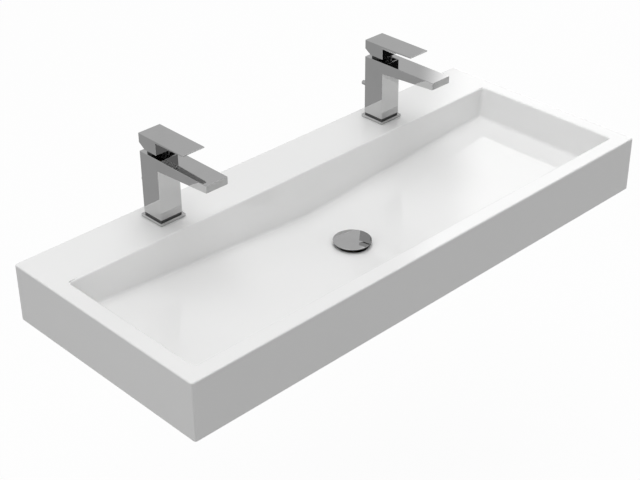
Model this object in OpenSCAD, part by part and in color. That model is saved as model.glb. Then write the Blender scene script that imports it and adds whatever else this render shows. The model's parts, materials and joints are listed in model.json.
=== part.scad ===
// Double washbasin: one long ceramic trough with a tap deck, two square
// single-lever mixers and a lift-up plug waste. Lengths are in millimetres.
// The origin is the middle of the wall bolt holes on the back face.
// +X runs along the basin, -Y comes out of the wall, +Z is up.

/* [Basin] */
// Overall length of the ceramic
basin_w = 1200; // [1100:10:1300]
// Overall depth of the ceramic, from the wall
basin_d = 500; // [470:5:540]
// Overall height of the ceramic
basin_h = 120; // [112:1:140]
// Width of the front rim and of both end rims
rim_w = 35; // [28:1:45]
// Depth of the tap deck behind the bowl
deck_d = 120; // [112:1:135]
// Thickness of the tap deck
deck_t = 18; // [14:1:22]
// Thickness of the ceramic wall that lies on the building's wall
back_wall_t = 15; // [11:1:18]
// Thickness of the bowl's floor and rear wall
shell_t = 12; // [9:0.5:14]
// Height of the floor's valley above the underside
valley_h = 18; // [16:0.5:24]
// Rise of the floor from the valley to each end
end_rise = 37; // [20:1:42]
// Lean of each end wall, from rim to floor
end_draft = 13.5; // [4:0.5:18]
// Lean of the front and rear bowl walls, from rim to floor
side_draft = 3; // [1:0.5:8]
// Radius between the bowl's floor and walls
floor_fillet = 6; // [4:0.5:8]
// Radius of the bowl's upright corners at the rim
bowl_corner_r = 5; // [4:0.5:8]
// Radius of the basin's outer upright corners
corner_r = 5; // [4:0.5:9]
// Radius of the basin's outer top edge
edge_r = 3; // [1.5:0.5:3.5]
// Width of the softened edge round the bowl's mouth
lip_w = 1.5; // [0.5:0.5:3]

/* [Wall bolts] */
// Number of bolt holes in the back wall
bolt_count = 4; // [2:2:4]
// Distance from one bolt hole to the next
bolt_pitch = 280; // [240:10:300]
// Diameter of a bolt hole
bolt_hole_d = 14; // [11:0.5:16]
// Height of the bolt holes above the underside
bolt_h = 60; // [45:1:75]

/* [Waste] */
// Distance of the drain's axis from the wall
drain_setback = 267; // [255:1:280]
// Diameter of the hole through the ceramic
drain_hole_d = 46; // [45.5:0.5:50]
// Diameter of the plug's cap
cap_d = 78; // [72:1:84]
// Thickness of the plug's cap with its black skirt
cap_t = 4; // [3:0.5:6]
// Thickness of the cap's metal above its black skirt
cap_plate_t = 1.4; // [1.2:0.1:2]
// Lift of the plug between closed and open
plug_lift = 5; // [3:0.5:6]
// Diameter of the waste's flange
flange_d = 66; // [62:1:68]
// Thickness of the waste's flange
flange_t = 1.6; // [1:0.2:2]
// Outer diameter of the flange's tube
flange_tube_d = 45; // [44:0.2:45.2]
// Inner diameter of the flange's tube
flange_bore_d = 40; // [38:0.5:41]
// Outer diameter of the tail's thread
tail_d = 41.9; // [41.5:0.1:42.4]
// Inner diameter of the tail
tail_bore_d = 35; // [33:0.5:36]
// Length of the tail below its collar
tail_l = 64; // [60:1:90]
// Length of the tail's thread
tail_thread_l = 25; // [20:1:25]
// Outer diameter of the tail above its thread
tail_tube_d = 38.6; // [38:0.2:39.6]
// Diameter of the plug's stem
stem_d = 8; // [6:0.5:9]
// Diameter of the rod that lifts the plug
pivot_rod_d = 5; // [4:0.5:6]
// Diameter of the ball that the rod turns on
ball_d = 12; // [11:0.5:13]
// Length of the pivot rod outside its ball
pivot_out = 80; // [60:1:100]

/* [Taps] */
// Distance between the axes of the two taps
tap_span = 600; // [560:5:640]
// Distance of the taps' axes from the wall
tap_setback = 57; // [54:1:62]
// Diameter of a tap hole in the deck
tap_hole_d = 35; // [34:0.5:36]
// Width of a tap's square column
col_w = 51; // [50:0.5:54]
// Height of the spout's top above the deck
body_h = 141; // [138:1:150]
// Distance from a tap's axis to the tip of its spout
spout_reach = 165; // [150:1:175]
// Thickness of the spout at its tip
spout_tip_t = 15.5; // [14.5:0.5:18]
// Thickness of the spout where it leaves the column
spout_root_t = 25; // [23:0.5:30]
// Width of the base plate
plate_w = 60; // [58:0.5:66]
// Thickness of the base plate
plate_t = 5.5; // [4:0.5:7]
// Width of the bevel round the base plate
plate_bevel = 0.8; // [0.5:0.1:2]
// Height of the dark seal between the column and the plate
foot_seal_t = 3.5; // [1.5:0.5:4]
// How far the dark seal stands back from the column's faces
foot_seal_inset = 1; // [0.5:0.5:3]
// Thickness of the seal under the base plate
deck_seal_t = 1; // [0.6:0.2:1.6]

/* [Levers] */
// Distance from a tap's axis to the tip of its lever
lever_reach = 103.5; // [90:0.5:120]
// Thickness of the lever over its block
lever_t = 5; // [4:0.5:6]
// Thickness of the lever at its tip
lever_tip_t = 2.5; // [2:0.5:4]
// Gap between the spout's top and the lever's block
lever_gap = 7.5; // [7:0.5:10]
// Height of the block with the lever
block_h = 30; // [29:0.5:34]
// Distance from the tap's axis to the block's front face
block_front = 24; // [24:0.25:25]
// Distance from the tap's axis to the start of the rear slant
slant_start = 9.5; // [6:0.5:11]
// Height of the slant at the block's rear
slant_rise = 10.5; // [8:0.5:12]
// Thickness of the block's walls
block_wall = 3; // [2:0.25:3]

/* [Cartridges] */
// Diameter of a cartridge
cartridge_d = 35; // [34:0.5:35.5]
// Height of a cartridge
cartridge_h = 37; // [34:0.5:40]
// Outer diameter of the ring nut that holds a cartridge
nut_d = 38; // [37:0.5:39]
// Height of the ring nut
nut_h = 7; // [6:0.5:8]
// Diameter of the round collar under the lever
collar_d = 44; // [42:0.5:44]
// Height of the collar's upright rim
collar_h = 6.6; // [6:0.2:6.8]
// Diameter of the carrier that turns with the lever
carrier_d = 27; // [26:0.5:27]
// Width of the square spindle
spindle_w = 8; // [7:0.5:8]
// Diameter of the pin that the spindle tilts on
pin_d = 4; // [3:0.5:4]

/* [Pull knobs] */
// Height of a pull knob above the deck, pushed down
knob_h = 63; // [56:1:66]
// Travel of a pull knob
knob_travel = 16; // [12:1:18]
// Diameter of a pull knob
knob_d = 10; // [8:0.5:12]
// Length of a pull knob
knob_l = 10; // [8:0.5:14]
// Distance from the tap's axis to the knob's end
knob_reach = 55.5; // [50:0.5:56]
// Diameter of the knob's stem
knob_stem_d = 5; // [4:0.5:6]
// Diameter of the upright lift rod
lift_rod_d = 4; // [3:0.5:5]
// Distance from the tap's axis to the lift rod
lift_rod_back = 10; // [9.5:0.5:10.5]

/* [Shanks and supplies] */
// Outer diameter of a tap's threaded shank
shank_d = 33; // [32:0.5:33.5]
// Inner diameter of a tap's threaded shank
shank_bore_d = 28; // [27.5:0.5:28.5]
// Length of the shank below the deck's underside
shank_out = 20; // [17:1:26]
// Width across the flats of the lock nut
lock_nut_w = 46; // [42:1:50]
// Height of the lock nut
lock_nut_h = 8; // [6:1:10]
// Outer diameter of the washers under the deck
washer_d = 52; // [48:1:56]
// Thickness of the rubber washer
rubber_washer_t = 3; // [2:0.5:4]
// Thickness of the steel washer
steel_washer_t = 2; // [1.5:0.5:3]
// Diameter of a supply tail
supply_d = 10; // [9:0.5:10]
// Wall of a supply tail
supply_wall = 1; // [0.8:0.1:1.5]
// Distance between the two supply tails
supply_span = 15; // [14.5:0.5:15.5]
// How far the supply tails reach below the ceramic
supply_out = 75; // [60:5:120]
// Length of a supply tail's plain end, up to its depth mark
plain_end = 25; // [18:1:30]

/* [Hidden] */

$fn = 64;
// Facets of the rounded corners inside a hull
SOFT_FN = 32;
// Steps round a softened edge
EDGE_STEPS = 6;
// How far a cut runs past the face that it opens
over = 1;
// Gap between a piece that turns or slides and what guides it
run_clear = 0.05;
// Gap round a piece that is screwed or pushed into a socket
seat_clear = 0.05;
// Gap beside a square spindle
side_clear = 0.1;
// Gap that keeps the moving plug off the ceramic
cap_clear = 0.55;
// Gap between the stem's foot and the rod that lifts it
foot_clear = 0.3;

left_side = -1;
right_side = 1;

// Levels of the ceramic
z_under = -bolt_h;
z_deck = basin_h - bolt_h;
z_valley = z_under + valley_h;

// Half lengths of the bowl's mouth and floor, and its front and rear edges
mouth_x = basin_w / 2 - rim_w;
floor_x = mouth_x - end_draft;
mouth_rear = -deck_d;
mouth_front = -(basin_d - rim_w);
floor_rear = mouth_rear - side_draft;
floor_front = mouth_front + side_draft;
floor_slope = end_rise / (floor_x - floor_fillet);

// Sizes of the waste's own small features
gasket_t = 0.5;
gasket_in = 0.5;
seat_d = flange_d + 2 * cap_clear;
seat_drop = gasket_t + flange_t;
z_seat = z_valley - seat_drop;
boss_d = 120;
under_washer_t = 5;
under_washer_d = 68;
backnut_w = 60;
backnut_h = 9;
z_backnut = z_under - under_washer_t - backnut_h;
flange_tube_out = 3;
z_tube_end = z_backnut - flange_tube_out;
collar_out = 2.5;
tail_collar_t = 3;
spigot_l = 14;
z_tail_top = z_tube_end;
z_cap = z_valley + floor_slope * cap_d / 2 + cap_clear + plug_lift;
cap_bevel = 0.8;
skirt_t = cap_t - cap_plate_t;
skirt_w = 8;
skirt_in = 0.3;
skirt_bore_d = cap_d - 2 * skirt_w;
cap_boss_d = 16;
cap_boss_h = 4;
stem_thread_d = 6;
stem_thread_l = 5;
seal_gap = 0.4;
seal_t = 2.4;
seal_d = flange_bore_d - 2 * seal_gap;
spool_in = 3;
spool_t = 1.5;
spool_d = flange_bore_d - 2 * spool_in;
groove_deep = 2;
seal_groove_d = spool_d - 2 * groove_deep;
guide_rim_t = 1.5;
guide_hub_d = 14;
guide_h = 6;
guide_ports = 6;
// The ball's centre lies behind the waste's axis and below the tail's collar
ball_back = 26;
ball_drop = 24;
z_ball = z_tail_top - tail_collar_t - ball_drop;
pivot_half_deg = atan(plug_lift / 2 / ball_back);
port_d = 20;
port_l = 32;
ball_clear = 0.1;
pivot_nut_d = 26;
pivot_nut_l = 11;
pivot_nut_end = 5;
pivot_nut_hole_d = 10;
ball_seal_t = 1.7;
ball_seat_clear = 0.3;
ball_seat_reach = port_l - ball_seal_t - ball_back;
ball_seal_bore = 2 * sqrt(pow(ball_d / 2 + ball_seat_clear, 2) - pow(ball_seat_reach, 2));
pivot_tip = 3;
// Centre of the stem's round foot, which stands just above the rod's inner end
z_stem_foot = z_ball + plug_lift / 2 + (pivot_rod_d / 2 + stem_d / 2 + foot_clear) / cos(pivot_half_deg);

// Levels of a tap, measured up from the deck
z_plate = deck_seal_t;
z_foot = deck_seal_t + plate_t;
z_column = z_foot + foot_seal_t;
z_block = body_h + lever_gap;
z_top = z_block + block_h;
z_nut = body_h - nut_h;
z_cartridge = z_nut - cartridge_h;
pivot_drop = 1;
z_pivot = body_h - pivot_drop;
thread_in = 12;
z_inlet = z_column + thread_in;

// Sizes of a tap's own small features
half_col = col_w / 2;
spout_slope = (spout_root_t - spout_tip_t) / (spout_reach - half_col);
channel_d = 9;
channel_start = 16;
aerator_d = 24;
aerator_bore_d = 20;
aerator_back = 15;
aerator_deep = 11;
aerator_proud = 0.5;
aerator_y = -(spout_reach - aerator_back);
z_aerator = body_h - spout_tip_t - spout_slope * aerator_back - aerator_proud;
insert_lip = 1;
mesh_t = 1;
mesh_hole_d = 1.6;
mesh_pitch = 3.2;
mesh_rings = 2;
passage_d = 8;
mark_w = 1;
mark_deep = 0.2;
supply_front = 3.5;
slider_d = 9;
slider_h = 14;
slider_top = 7;
slot_w = 6.6;
slider_room = 4;
collar_wall = 2;
neck_d = 34;
neck_h = 5;
nut_bore_d = 28.4;
dome_r = 19;
dome_mouth_d = 25;
dome_flat_d = 28;
z_dome_top = z_pivot + sqrt(dome_r * dome_r - dome_flat_d * dome_flat_d / 4);
carrier_down = 16;
carrier_up = 9;
carrier_floor = 1.5;
z_carrier = z_pivot - carrier_down;
z_carrier_top = z_pivot + carrier_up;
spindle_down = 13;
tilt_room = 10;
pin_l = 24;
port_hole_d = 7;
hub_d = 18;
hub_up = 20;
z_hub = z_pivot + hub_up;
z_ceiling = z_top - lever_t;
spindle_gap = 0.5;
socket_roof = 1;
z_spindle_top = z_ceiling - socket_roof - spindle_gap;
grub_d = 5;
grub_l = 5;
grub_up = 6;
z_grub = z_hub + grub_up;
grub_hex_w = 2.5;
grub_hex_deep = 3;
plug_hole_d = 6;
plug_flange_d = 7;
plug_flange_t = 0.6;
knob_spigot_d = 3.9;
knob_spigot_in = 3;
knob_neck_d = 7;
knob_dome = 1.2;
rod_out = 30;
shank_clear = 0.3;
plate_hole_d = shank_d + 2 * shank_clear;
steel_washer_in = 1;
hex_sides = 6;

// Colours
WHITE_GLAZE = [0.93, 0.93, 0.92];
CHROME = [0.72, 0.73, 0.75];
BLACK_RUBBER = [0.09, 0.09, 0.1];
GREY_PLASTIC = [0.62, 0.63, 0.65];
WHITE_PLASTIC = [0.88, 0.88, 0.86];
BRASS = [0.78, 0.62, 0.3];
STEEL = [0.6, 0.61, 0.62];
COPPER = [0.72, 0.42, 0.28];

// A ring between two diameters
module ring(d_out, d_in, h) {
  difference() {
    cylinder(d = d_out, h = h);
    translate([0, 0, -over]) cylinder(d = d_in, h = h + 2 * over);
  }
}

// A hexagon prism, given across its flats
module hex_prism(w, h) {
  cylinder(d = w / cos(180 / hex_sides), h = h, $fn = hex_sides);
}

// A cylinder that runs along +Y
module y_cylinder(d, l) {
  rotate([-90, 0, 0]) cylinder(d = d, h = l);
}

// A cylinder centred on the origin that runs along X
module x_cylinder(d, l) {
  rotate([0, 90, 0]) cylinder(d = d, h = l, center = true);
}

// A box centred on X and Y
module post(w, d, h) {
  translate([-w / 2, -d / 2, 0]) cube([w, d, h]);
}

// An upright post whose top edge is rounded
module soft_post(r, e, h) {
  arc = [for (i = [0 : EDGE_STEPS]) let (a = 90 * i / EDGE_STEPS) [r - e + e * cos(a), h - e + e * sin(a)]];
  rotate_extrude($fn = SOFT_FN) polygon(concat([[0, 0], [r, 0]], arc, [[0, h]]));
}

// The outer block, with rounded corners and a rounded top edge
module basin_block() {
  hull() {
    for (sx = [-1, 1]) for (y = [-corner_r, corner_r - basin_d])
      translate([sx * (basin_w / 2 - corner_r), y, z_under]) soft_post(corner_r, edge_r, basin_h);
  }
}

// The bowl's hollow, or with grow the outside of the shell round it
module bowl_form(grow) {
  corner_y = [mouth_front + bowl_corner_r, mouth_rear - bowl_corner_r];
  floor_y = [floor_front + floor_fillet, floor_rear - floor_fillet];
  hull() {
    for (sx = [-1, 1]) for (y = corner_y)
      translate([sx * (mouth_x - bowl_corner_r), y, z_deck])
        cylinder(r = bowl_corner_r + grow, h = over, $fn = SOFT_FN);
    for (sx = [-1, 1]) for (y = floor_y)
      translate([sx * (floor_x - floor_fillet), y, z_valley + end_rise + floor_fillet])
        sphere(r = floor_fillet + grow, $fn = SOFT_FN);
    for (y = floor_y)
      translate([0, y, z_valley + floor_fillet]) sphere(r = floor_fillet + grow, $fn = SOFT_FN);
  }
}

// The flare that softens the bowl's edge at the rim
module mouth_flare() {
  corner_y = [mouth_front + bowl_corner_r, mouth_rear - bowl_corner_r];
  hull() {
    for (sx = [-1, 1]) for (y = corner_y)
      translate([sx * (mouth_x - bowl_corner_r), y, z_deck - lip_w])
        cylinder(r1 = bowl_corner_r, r2 = bowl_corner_r + lip_w + over, h = lip_w + over, $fn = SOFT_FN);
  }
}

// The hollow under the deck and the bowl's floor
module underside_hollow() {
  difference() {
    translate([-floor_x, floor_front, z_under - over])
      cube([2 * floor_x, -back_wall_t - floor_front, basin_h - deck_t + over]);
    bowl_form(shell_t);
    translate([0, -drain_setback, z_under - 2 * over]) cylinder(d = boss_d, h = valley_h + 2 * over);
  }
}

module wall_bolt_holes() {
  for (i = [0 : bolt_count - 1])
    translate([(i - (bolt_count - 1) / 2) * bolt_pitch, -back_wall_t - over, 0])
      y_cylinder(bolt_hole_d, back_wall_t + 2 * over);
}

module basin() {
  color(WHITE_GLAZE) difference() {
    basin_block();
    bowl_form(0);
    mouth_flare();
    underside_hollow();
    wall_bolt_holes();
    for (side = [left_side, right_side])
      translate([side * tap_span / 2, -tap_setback, z_deck - deck_t - over])
        cylinder(d = tap_hole_d, h = deck_t + 2 * over);
    at_drain(z_under - over) cylinder(d = drain_hole_d, h = valley_h + 2 * over);
    at_drain(z_seat) cylinder(d = seat_d, h = seat_drop + floor_slope * seat_d);
  }
}

// Puts its children on the drain's axis, at height z
module at_drain(z) {
  translate([0, -drain_setback, z]) children();
}

// Flange and threaded tube that clamp through the ceramic
module waste_flange() {
  color(CHROME) difference() {
    union() {
      at_drain(z_seat + gasket_t) cylinder(d = flange_d, h = flange_t);
      at_drain(z_tube_end) cylinder(d = flange_tube_d, h = z_seat + gasket_t - z_tube_end);
    }
    at_drain(z_tube_end - over)
      cylinder(d = flange_bore_d, h = z_seat + gasket_t + flange_t - z_tube_end + 2 * over);
  }
}

module flange_gasket() {
  color(WHITE_PLASTIC) at_drain(z_seat)
    ring(flange_d - 2 * gasket_in, flange_tube_d + 2 * seat_clear, gasket_t);
}

module under_washer() {
  color(BLACK_RUBBER) at_drain(z_under - under_washer_t)
    ring(under_washer_d, flange_tube_d + 2 * seat_clear, under_washer_t);
}

module backnut() {
  color(BRASS) at_drain(z_backnut) difference() {
    hex_prism(backnut_w, backnut_h);
    translate([0, 0, -over]) cylinder(d = flange_tube_d + 2 * seat_clear, h = backnut_h + 2 * over);
  }
}

// Tail that the trap screws on, with the port of the lifting rod
module waste_tail() {
  color(CHROME) difference() {
    union() {
      at_drain(z_tail_top) cylinder(d = flange_bore_d - 2 * seat_clear, h = spigot_l);
      at_drain(z_tail_top - tail_collar_t) cylinder(d = flange_tube_d + 2 * collar_out, h = tail_collar_t);
      at_drain(z_tail_top - tail_collar_t - tail_l) cylinder(d = tail_d, h = tail_thread_l);
      at_drain(z_tail_top - tail_collar_t - tail_l) cylinder(d = tail_tube_d, h = tail_l);
      at_drain(z_ball) y_cylinder(port_d, port_l);
    }
    at_drain(z_tail_top - tail_collar_t - tail_l - over)
      cylinder(d = tail_bore_d, h = tail_l + tail_collar_t + spigot_l + 2 * over);
    at_drain(z_ball) y_cylinder(ball_d + 2 * ball_clear, port_l + over);
  }
}

// Disc with a ring of ports that keeps the plug's stem upright
module stem_guide() {
  disc_d = tail_bore_d - 2 * seat_clear;
  port_room = disc_d / 2 - guide_rim_t - guide_hub_d / 2;
  color(WHITE_PLASTIC) at_drain(z_tail_top + spigot_l - guide_h) difference() {
    cylinder(d = disc_d, h = guide_h);
    translate([0, 0, -over]) cylinder(d = stem_d + 2 * run_clear, h = guide_h + 2 * over);
    for (i = [0 : guide_ports - 1]) rotate([0, 0, i * 360 / guide_ports])
      translate([guide_hub_d / 2 + port_room / 2, 0, -over])
        cylinder(d = port_room, h = guide_h + 2 * over);
  }
}

// Cap that covers the drain, with a bevelled upper edge
module plug_cap() {
  color(CHROME) difference() {
    union() {
      at_drain(z_cap + skirt_t) cylinder(d = cap_d, h = cap_plate_t - cap_bevel);
      at_drain(z_cap) cylinder(d = skirt_bore_d - 2 * seat_clear, h = skirt_t);
      at_drain(z_cap + cap_t - cap_bevel) cylinder(d1 = cap_d, d2 = cap_d - 2 * cap_bevel, h = cap_bevel);
      at_drain(z_cap - cap_boss_h) cylinder(d = cap_boss_d, h = cap_boss_h);
    }
    at_drain(z_cap - cap_boss_h - over)
      cylinder(d = stem_thread_d + 2 * seat_clear, h = stem_thread_l + seat_clear + over);
  }
}

// Black ring under the cap's edge
module cap_skirt() {
  color(BLACK_RUBBER) at_drain(z_cap) ring(cap_d - 2 * skirt_in, skirt_bore_d, skirt_t);
}

module plug_stem() {
  spool_h = 2 * spool_t + seal_t;
  z_spool = z_cap - cap_boss_h - spool_h;
  color(BRASS) {
    at_drain(z_stem_foot) sphere(d = stem_d);
    at_drain(z_stem_foot) cylinder(d = stem_d, h = z_spool + spool_t - z_stem_foot);
    at_drain(z_spool) cylinder(d = spool_d, h = spool_t);
    at_drain(z_spool) cylinder(d = seal_groove_d, h = spool_h);
    at_drain(z_spool + spool_h - spool_t) cylinder(d = spool_d, h = spool_t);
    at_drain(z_spool + spool_t) cylinder(d = stem_thread_d, h = spool_h - spool_t + stem_thread_l);
  }
}

module plug_seal() {
  color(BLACK_RUBBER) at_drain(z_cap - cap_boss_h - spool_t - seal_t)
    ring(seal_d, seal_groove_d + 2 * seat_clear, seal_t);
}

// Puts its children at the ball, turned to the rod's rest slope
module at_ball() {
  translate([0, ball_back - drain_setback, z_ball]) rotate([-pivot_half_deg, 0, 0]) children();
}

module pivot_rod() {
  color(STEEL) at_ball() {
    sphere(d = ball_d);
    translate([0, -ball_back - pivot_tip, 0]) y_cylinder(pivot_rod_d, ball_back + pivot_tip + pivot_out);
  }
}

module ball_seal() {
  color(BLACK_RUBBER) at_drain(z_ball) translate([0, port_l - ball_seal_t, 0]) difference() {
    y_cylinder(ball_d + 2 * ball_clear - 2 * seat_clear, ball_seal_t);
    translate([0, -over, 0]) y_cylinder(ball_seal_bore, ball_seal_t + 2 * over);
  }
}

module pivot_nut() {
  color(CHROME) at_drain(z_ball) translate([0, port_l + pivot_nut_end - pivot_nut_l, 0]) difference() {
    y_cylinder(pivot_nut_d, pivot_nut_l);
    translate([0, -over, 0]) y_cylinder(port_d + 2 * seat_clear, pivot_nut_l - pivot_nut_end + over);
    y_cylinder(pivot_nut_hole_d, pivot_nut_l + over);
  }
}

// Puts its children on the deck at the left or the right tap
module at_tap(side) {
  translate([side * tap_span / 2, -tap_setback, z_deck]) children();
}

// A side outline in Y and Z, drawn out across the tap's width
module side_outline(points, w) {
  translate([-w / 2, 0, 0]) rotate([90, 0, 90]) linear_extrude(w) polygon(points);
}

// Column and spout, with the cartridge's socket and the waterways
module tap_body() {
  z_mid_root = body_h - spout_root_t / 2;
  z_mid_tip = body_h - spout_tip_t / 2;
  channel_l = spout_reach - aerator_back - channel_start;
  channel_tilt = atan((z_mid_tip - z_mid_root) / (spout_reach - half_col));
  outline = [
    [half_col, z_column], [half_col, body_h], [-spout_reach, body_h],
    [-spout_reach, body_h - spout_tip_t], [-half_col, body_h - spout_root_t], [-half_col, z_column]
  ];
  color(CHROME) difference() {
    side_outline(outline, col_w);
    translate([0, 0, z_cartridge])
      cylinder(d = cartridge_d + 2 * seat_clear, h = cartridge_h + nut_h + over);
    translate([0, 0, z_nut]) cylinder(d = nut_d + 2 * seat_clear, h = nut_h + over);
    translate([0, -channel_start, z_mid_root]) rotate([90 - channel_tilt, 0, 0])
      cylinder(d = channel_d, h = channel_l);
    translate([0, aerator_y, z_aerator - over])
      cylinder(d = aerator_d + 2 * seat_clear, h = aerator_deep + over);
    translate([0, 0, z_column - over]) cylinder(d = shank_d + 2 * seat_clear, h = thread_in + over);
    for (sx = [-1, 1]) translate([sx * supply_span / 2, -supply_front, z_column]) {
      cylinder(d = supply_d + 2 * seat_clear, h = 2 * thread_in);
      cylinder(d = passage_d, h = z_cartridge - z_column + over);
    }
    rod_room();
  }
}

// Upright bore for the lift rod's slider, open to the rear through a slot
module rod_room() {
  z_slot_top = knob_h + knob_travel;
  translate([0, lift_rod_back, z_column])
    cylinder(d = slider_d + 2 * run_clear, h = z_slot_top + slider_top + slider_room - z_column);
  for (z = [knob_h, z_slot_top]) translate([0, lift_rod_back, z]) y_cylinder(slot_w, half_col);
  translate([-slot_w / 2, lift_rod_back, knob_h]) cube([slot_w, half_col, knob_travel]);
}

module base_plate() {
  color(CHROME) difference() {
    hull() {
      translate([0, 0, z_plate]) post(plate_w, plate_w, plate_t - plate_bevel);
      translate([0, 0, z_plate]) post(plate_w - 2 * plate_bevel, plate_w - 2 * plate_bevel, plate_t);
    }
    translate([0, 0, z_plate - over]) cylinder(d = plate_hole_d, h = plate_t + 2 * over);
  }
}

// Square ring with a round hole for the shank
module square_seal(w, t) {
  difference() {
    post(w, w, t);
    translate([0, 0, -over]) cylinder(d = plate_hole_d, h = t + 2 * over);
  }
}

module foot_seal() {
  color(BLACK_RUBBER) translate([0, 0, z_foot]) square_seal(col_w - 2 * foot_seal_inset, foot_seal_t);
}

module deck_seal() {
  color(BLACK_RUBBER) square_seal(plate_w - 2 * foot_seal_inset, deck_seal_t);
}

module aerator_housing() {
  color(CHROME) translate([0, aerator_y, z_aerator]) difference() {
    cylinder(d = aerator_d, h = aerator_deep - seat_clear);
    translate([0, 0, -over]) cylinder(d = aerator_bore_d, h = aerator_deep + 2 * over);
  }
}

// Plastic cup whose mesh breaks up the jet
module aerator_insert() {
  insert_d = aerator_bore_d - 2 * seat_clear;
  insert_h = aerator_deep - seat_clear - insert_lip;
  color(WHITE_PLASTIC) translate([0, aerator_y, z_aerator + insert_lip]) difference() {
    cylinder(d = insert_d, h = insert_h);
    translate([0, 0, mesh_t]) cylinder(d = insert_d - 2 * mesh_t, h = insert_h);
    translate([0, 0, -over]) cylinder(d = mesh_hole_d, h = mesh_t + 2 * over);
    for (k = [1 : mesh_rings]) for (i = [0 : hex_sides * k - 1])
      rotate([0, 0, i * 360 / (hex_sides * k)]) translate([k * mesh_pitch, 0, -over])
        cylinder(d = mesh_hole_d, h = mesh_t + 2 * over);
  }
}

// Cartridge with a pocket for the carrier and its three water ports
module cartridge() {
  pocket_at = z_carrier - z_cartridge;
  color(GREY_PLASTIC) translate([0, 0, z_cartridge]) difference() {
    cylinder(d = cartridge_d, h = cartridge_h);
    translate([0, 0, pocket_at])
      cylinder(d = carrier_d + 2 * run_clear, h = cartridge_h - pocket_at + over);
    for (sx = [-1, 1]) translate([sx * supply_span / 2, -supply_front, -over])
      cylinder(d = port_hole_d, h = pocket_at);
  }
}

module ring_nut() {
  color(BRASS) translate([0, 0, z_nut]) difference() {
    union() {
      cylinder(d = nut_d, h = nut_h);
      cylinder(d = neck_d, h = nut_h + neck_h);
    }
    translate([0, 0, -over]) cylinder(d = nut_bore_d, h = nut_h + neck_h + 2 * over);
  }
}

// Round collar between the body and the lever, with a low dome inside the lever
module collar() {
  color(CHROME) difference() {
    intersection() {
      union() {
        translate([0, 0, body_h]) cylinder(d = collar_d, h = collar_h);
        translate([0, 0, z_pivot]) sphere(r = dome_r);
      }
      translate([0, 0, body_h]) cylinder(d = collar_d, h = z_dome_top - body_h);
    }
    translate([0, 0, body_h - over]) cylinder(d = neck_d + 2 * seat_clear, h = neck_h + over);
    translate([0, 0, z_pivot]) sphere(r = dome_r - collar_wall);
    translate([0, 0, body_h]) cylinder(d = dome_mouth_d, h = z_dome_top);
  }
}

// Carrier that turns in the cartridge and holds the tilting spindle
module carrier() {
  slot_w = spindle_w + 2 * side_clear;
  color(WHITE_PLASTIC) difference() {
    translate([0, 0, z_carrier]) cylinder(d = carrier_d, h = z_carrier_top - z_carrier);
    translate([0, 0, z_carrier + carrier_floor]) post(slot_w, 2 * tilt_room, z_carrier_top - z_carrier);
    translate([0, 0, z_pivot]) x_cylinder(pin_d, pin_l);
  }
}

module pivot_pin() {
  color(STEEL) translate([0, 0, z_pivot]) x_cylinder(pin_d, pin_l);
}

// Square spindle that the lever is fixed to
module spindle() {
  color(BRASS) difference() {
    translate([0, 0, z_pivot - spindle_down])
      post(spindle_w, spindle_w, z_spindle_top - z_pivot + spindle_down);
    translate([0, 0, z_pivot]) x_cylinder(pin_d + 2 * run_clear, pin_l);
  }
}

// Lever and its block, hollow round the collar, with the spindle's socket
module lever() {
  outline = [
    [half_col, z_top], [-lever_reach, z_top], [-lever_reach, z_top - lever_tip_t],
    [-block_front, z_ceiling], [-block_front, z_block], [slant_start, z_block],
    [half_col, z_block + slant_rise]
  ];
  room_w = col_w - 2 * block_wall;
  room_y = block_wall - block_front;
  color(CHROME) difference() {
    union() {
      difference() {
        side_outline(outline, col_w);
        translate([-room_w / 2, room_y, z_block - over])
          cube([room_w, half_col - block_wall - room_y, z_ceiling - z_block + over]);
      }
      translate([0, 0, z_hub]) cylinder(d = hub_d, h = z_ceiling - z_hub);
    }
    translate([0, 0, z_hub - over])
      post(spindle_w + 2 * side_clear, spindle_w + 2 * side_clear, z_ceiling - socket_roof - z_hub + over);
    translate([0, 0, z_grub]) y_cylinder(grub_d + 2 * seat_clear, hub_d);
    translate([0, half_col - block_wall - over, z_grub]) y_cylinder(plug_hole_d, block_wall + 2 * over);
  }
}

module grub_screw() {
  color(STEEL) translate([0, spindle_w / 2 + side_clear, z_grub]) difference() {
    y_cylinder(grub_d, grub_l);
    translate([0, grub_l - grub_hex_deep, 0]) rotate([-90, 0, 0])
      hex_prism(grub_hex_w, grub_hex_deep + over);
  }
}

module screw_plug() {
  color(GREY_PLASTIC) {
    translate([0, half_col - block_wall, z_grub]) y_cylinder(plug_hole_d - 2 * seat_clear, block_wall);
    translate([0, half_col, z_grub]) y_cylinder(plug_flange_d, plug_flange_t);
  }
}

// Knob behind the column, on the stem that leaves through the slot
module pull_knob() {
  y_knob = knob_reach - knob_l;
  y_stem = lift_rod_back + slider_d / 2;
  color(CHROME) {
    translate([0, lift_rod_back - knob_spigot_in, knob_h])
      y_cylinder(knob_spigot_d, slider_d / 2 + knob_spigot_in);
    translate([0, y_stem, knob_h]) y_cylinder(knob_stem_d, y_knob - y_stem);
    translate([0, y_knob - knob_dome, knob_h]) y_cylinder(knob_neck_d, knob_dome);
    translate([0, y_knob, knob_h]) y_cylinder(knob_d, knob_l - knob_dome);
    translate([0, knob_reach - knob_dome, knob_h]) rotate([-90, 0, 0])
      cylinder(d1 = knob_d, d2 = knob_d - 2 * knob_dome, h = knob_dome);
  }
}

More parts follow.
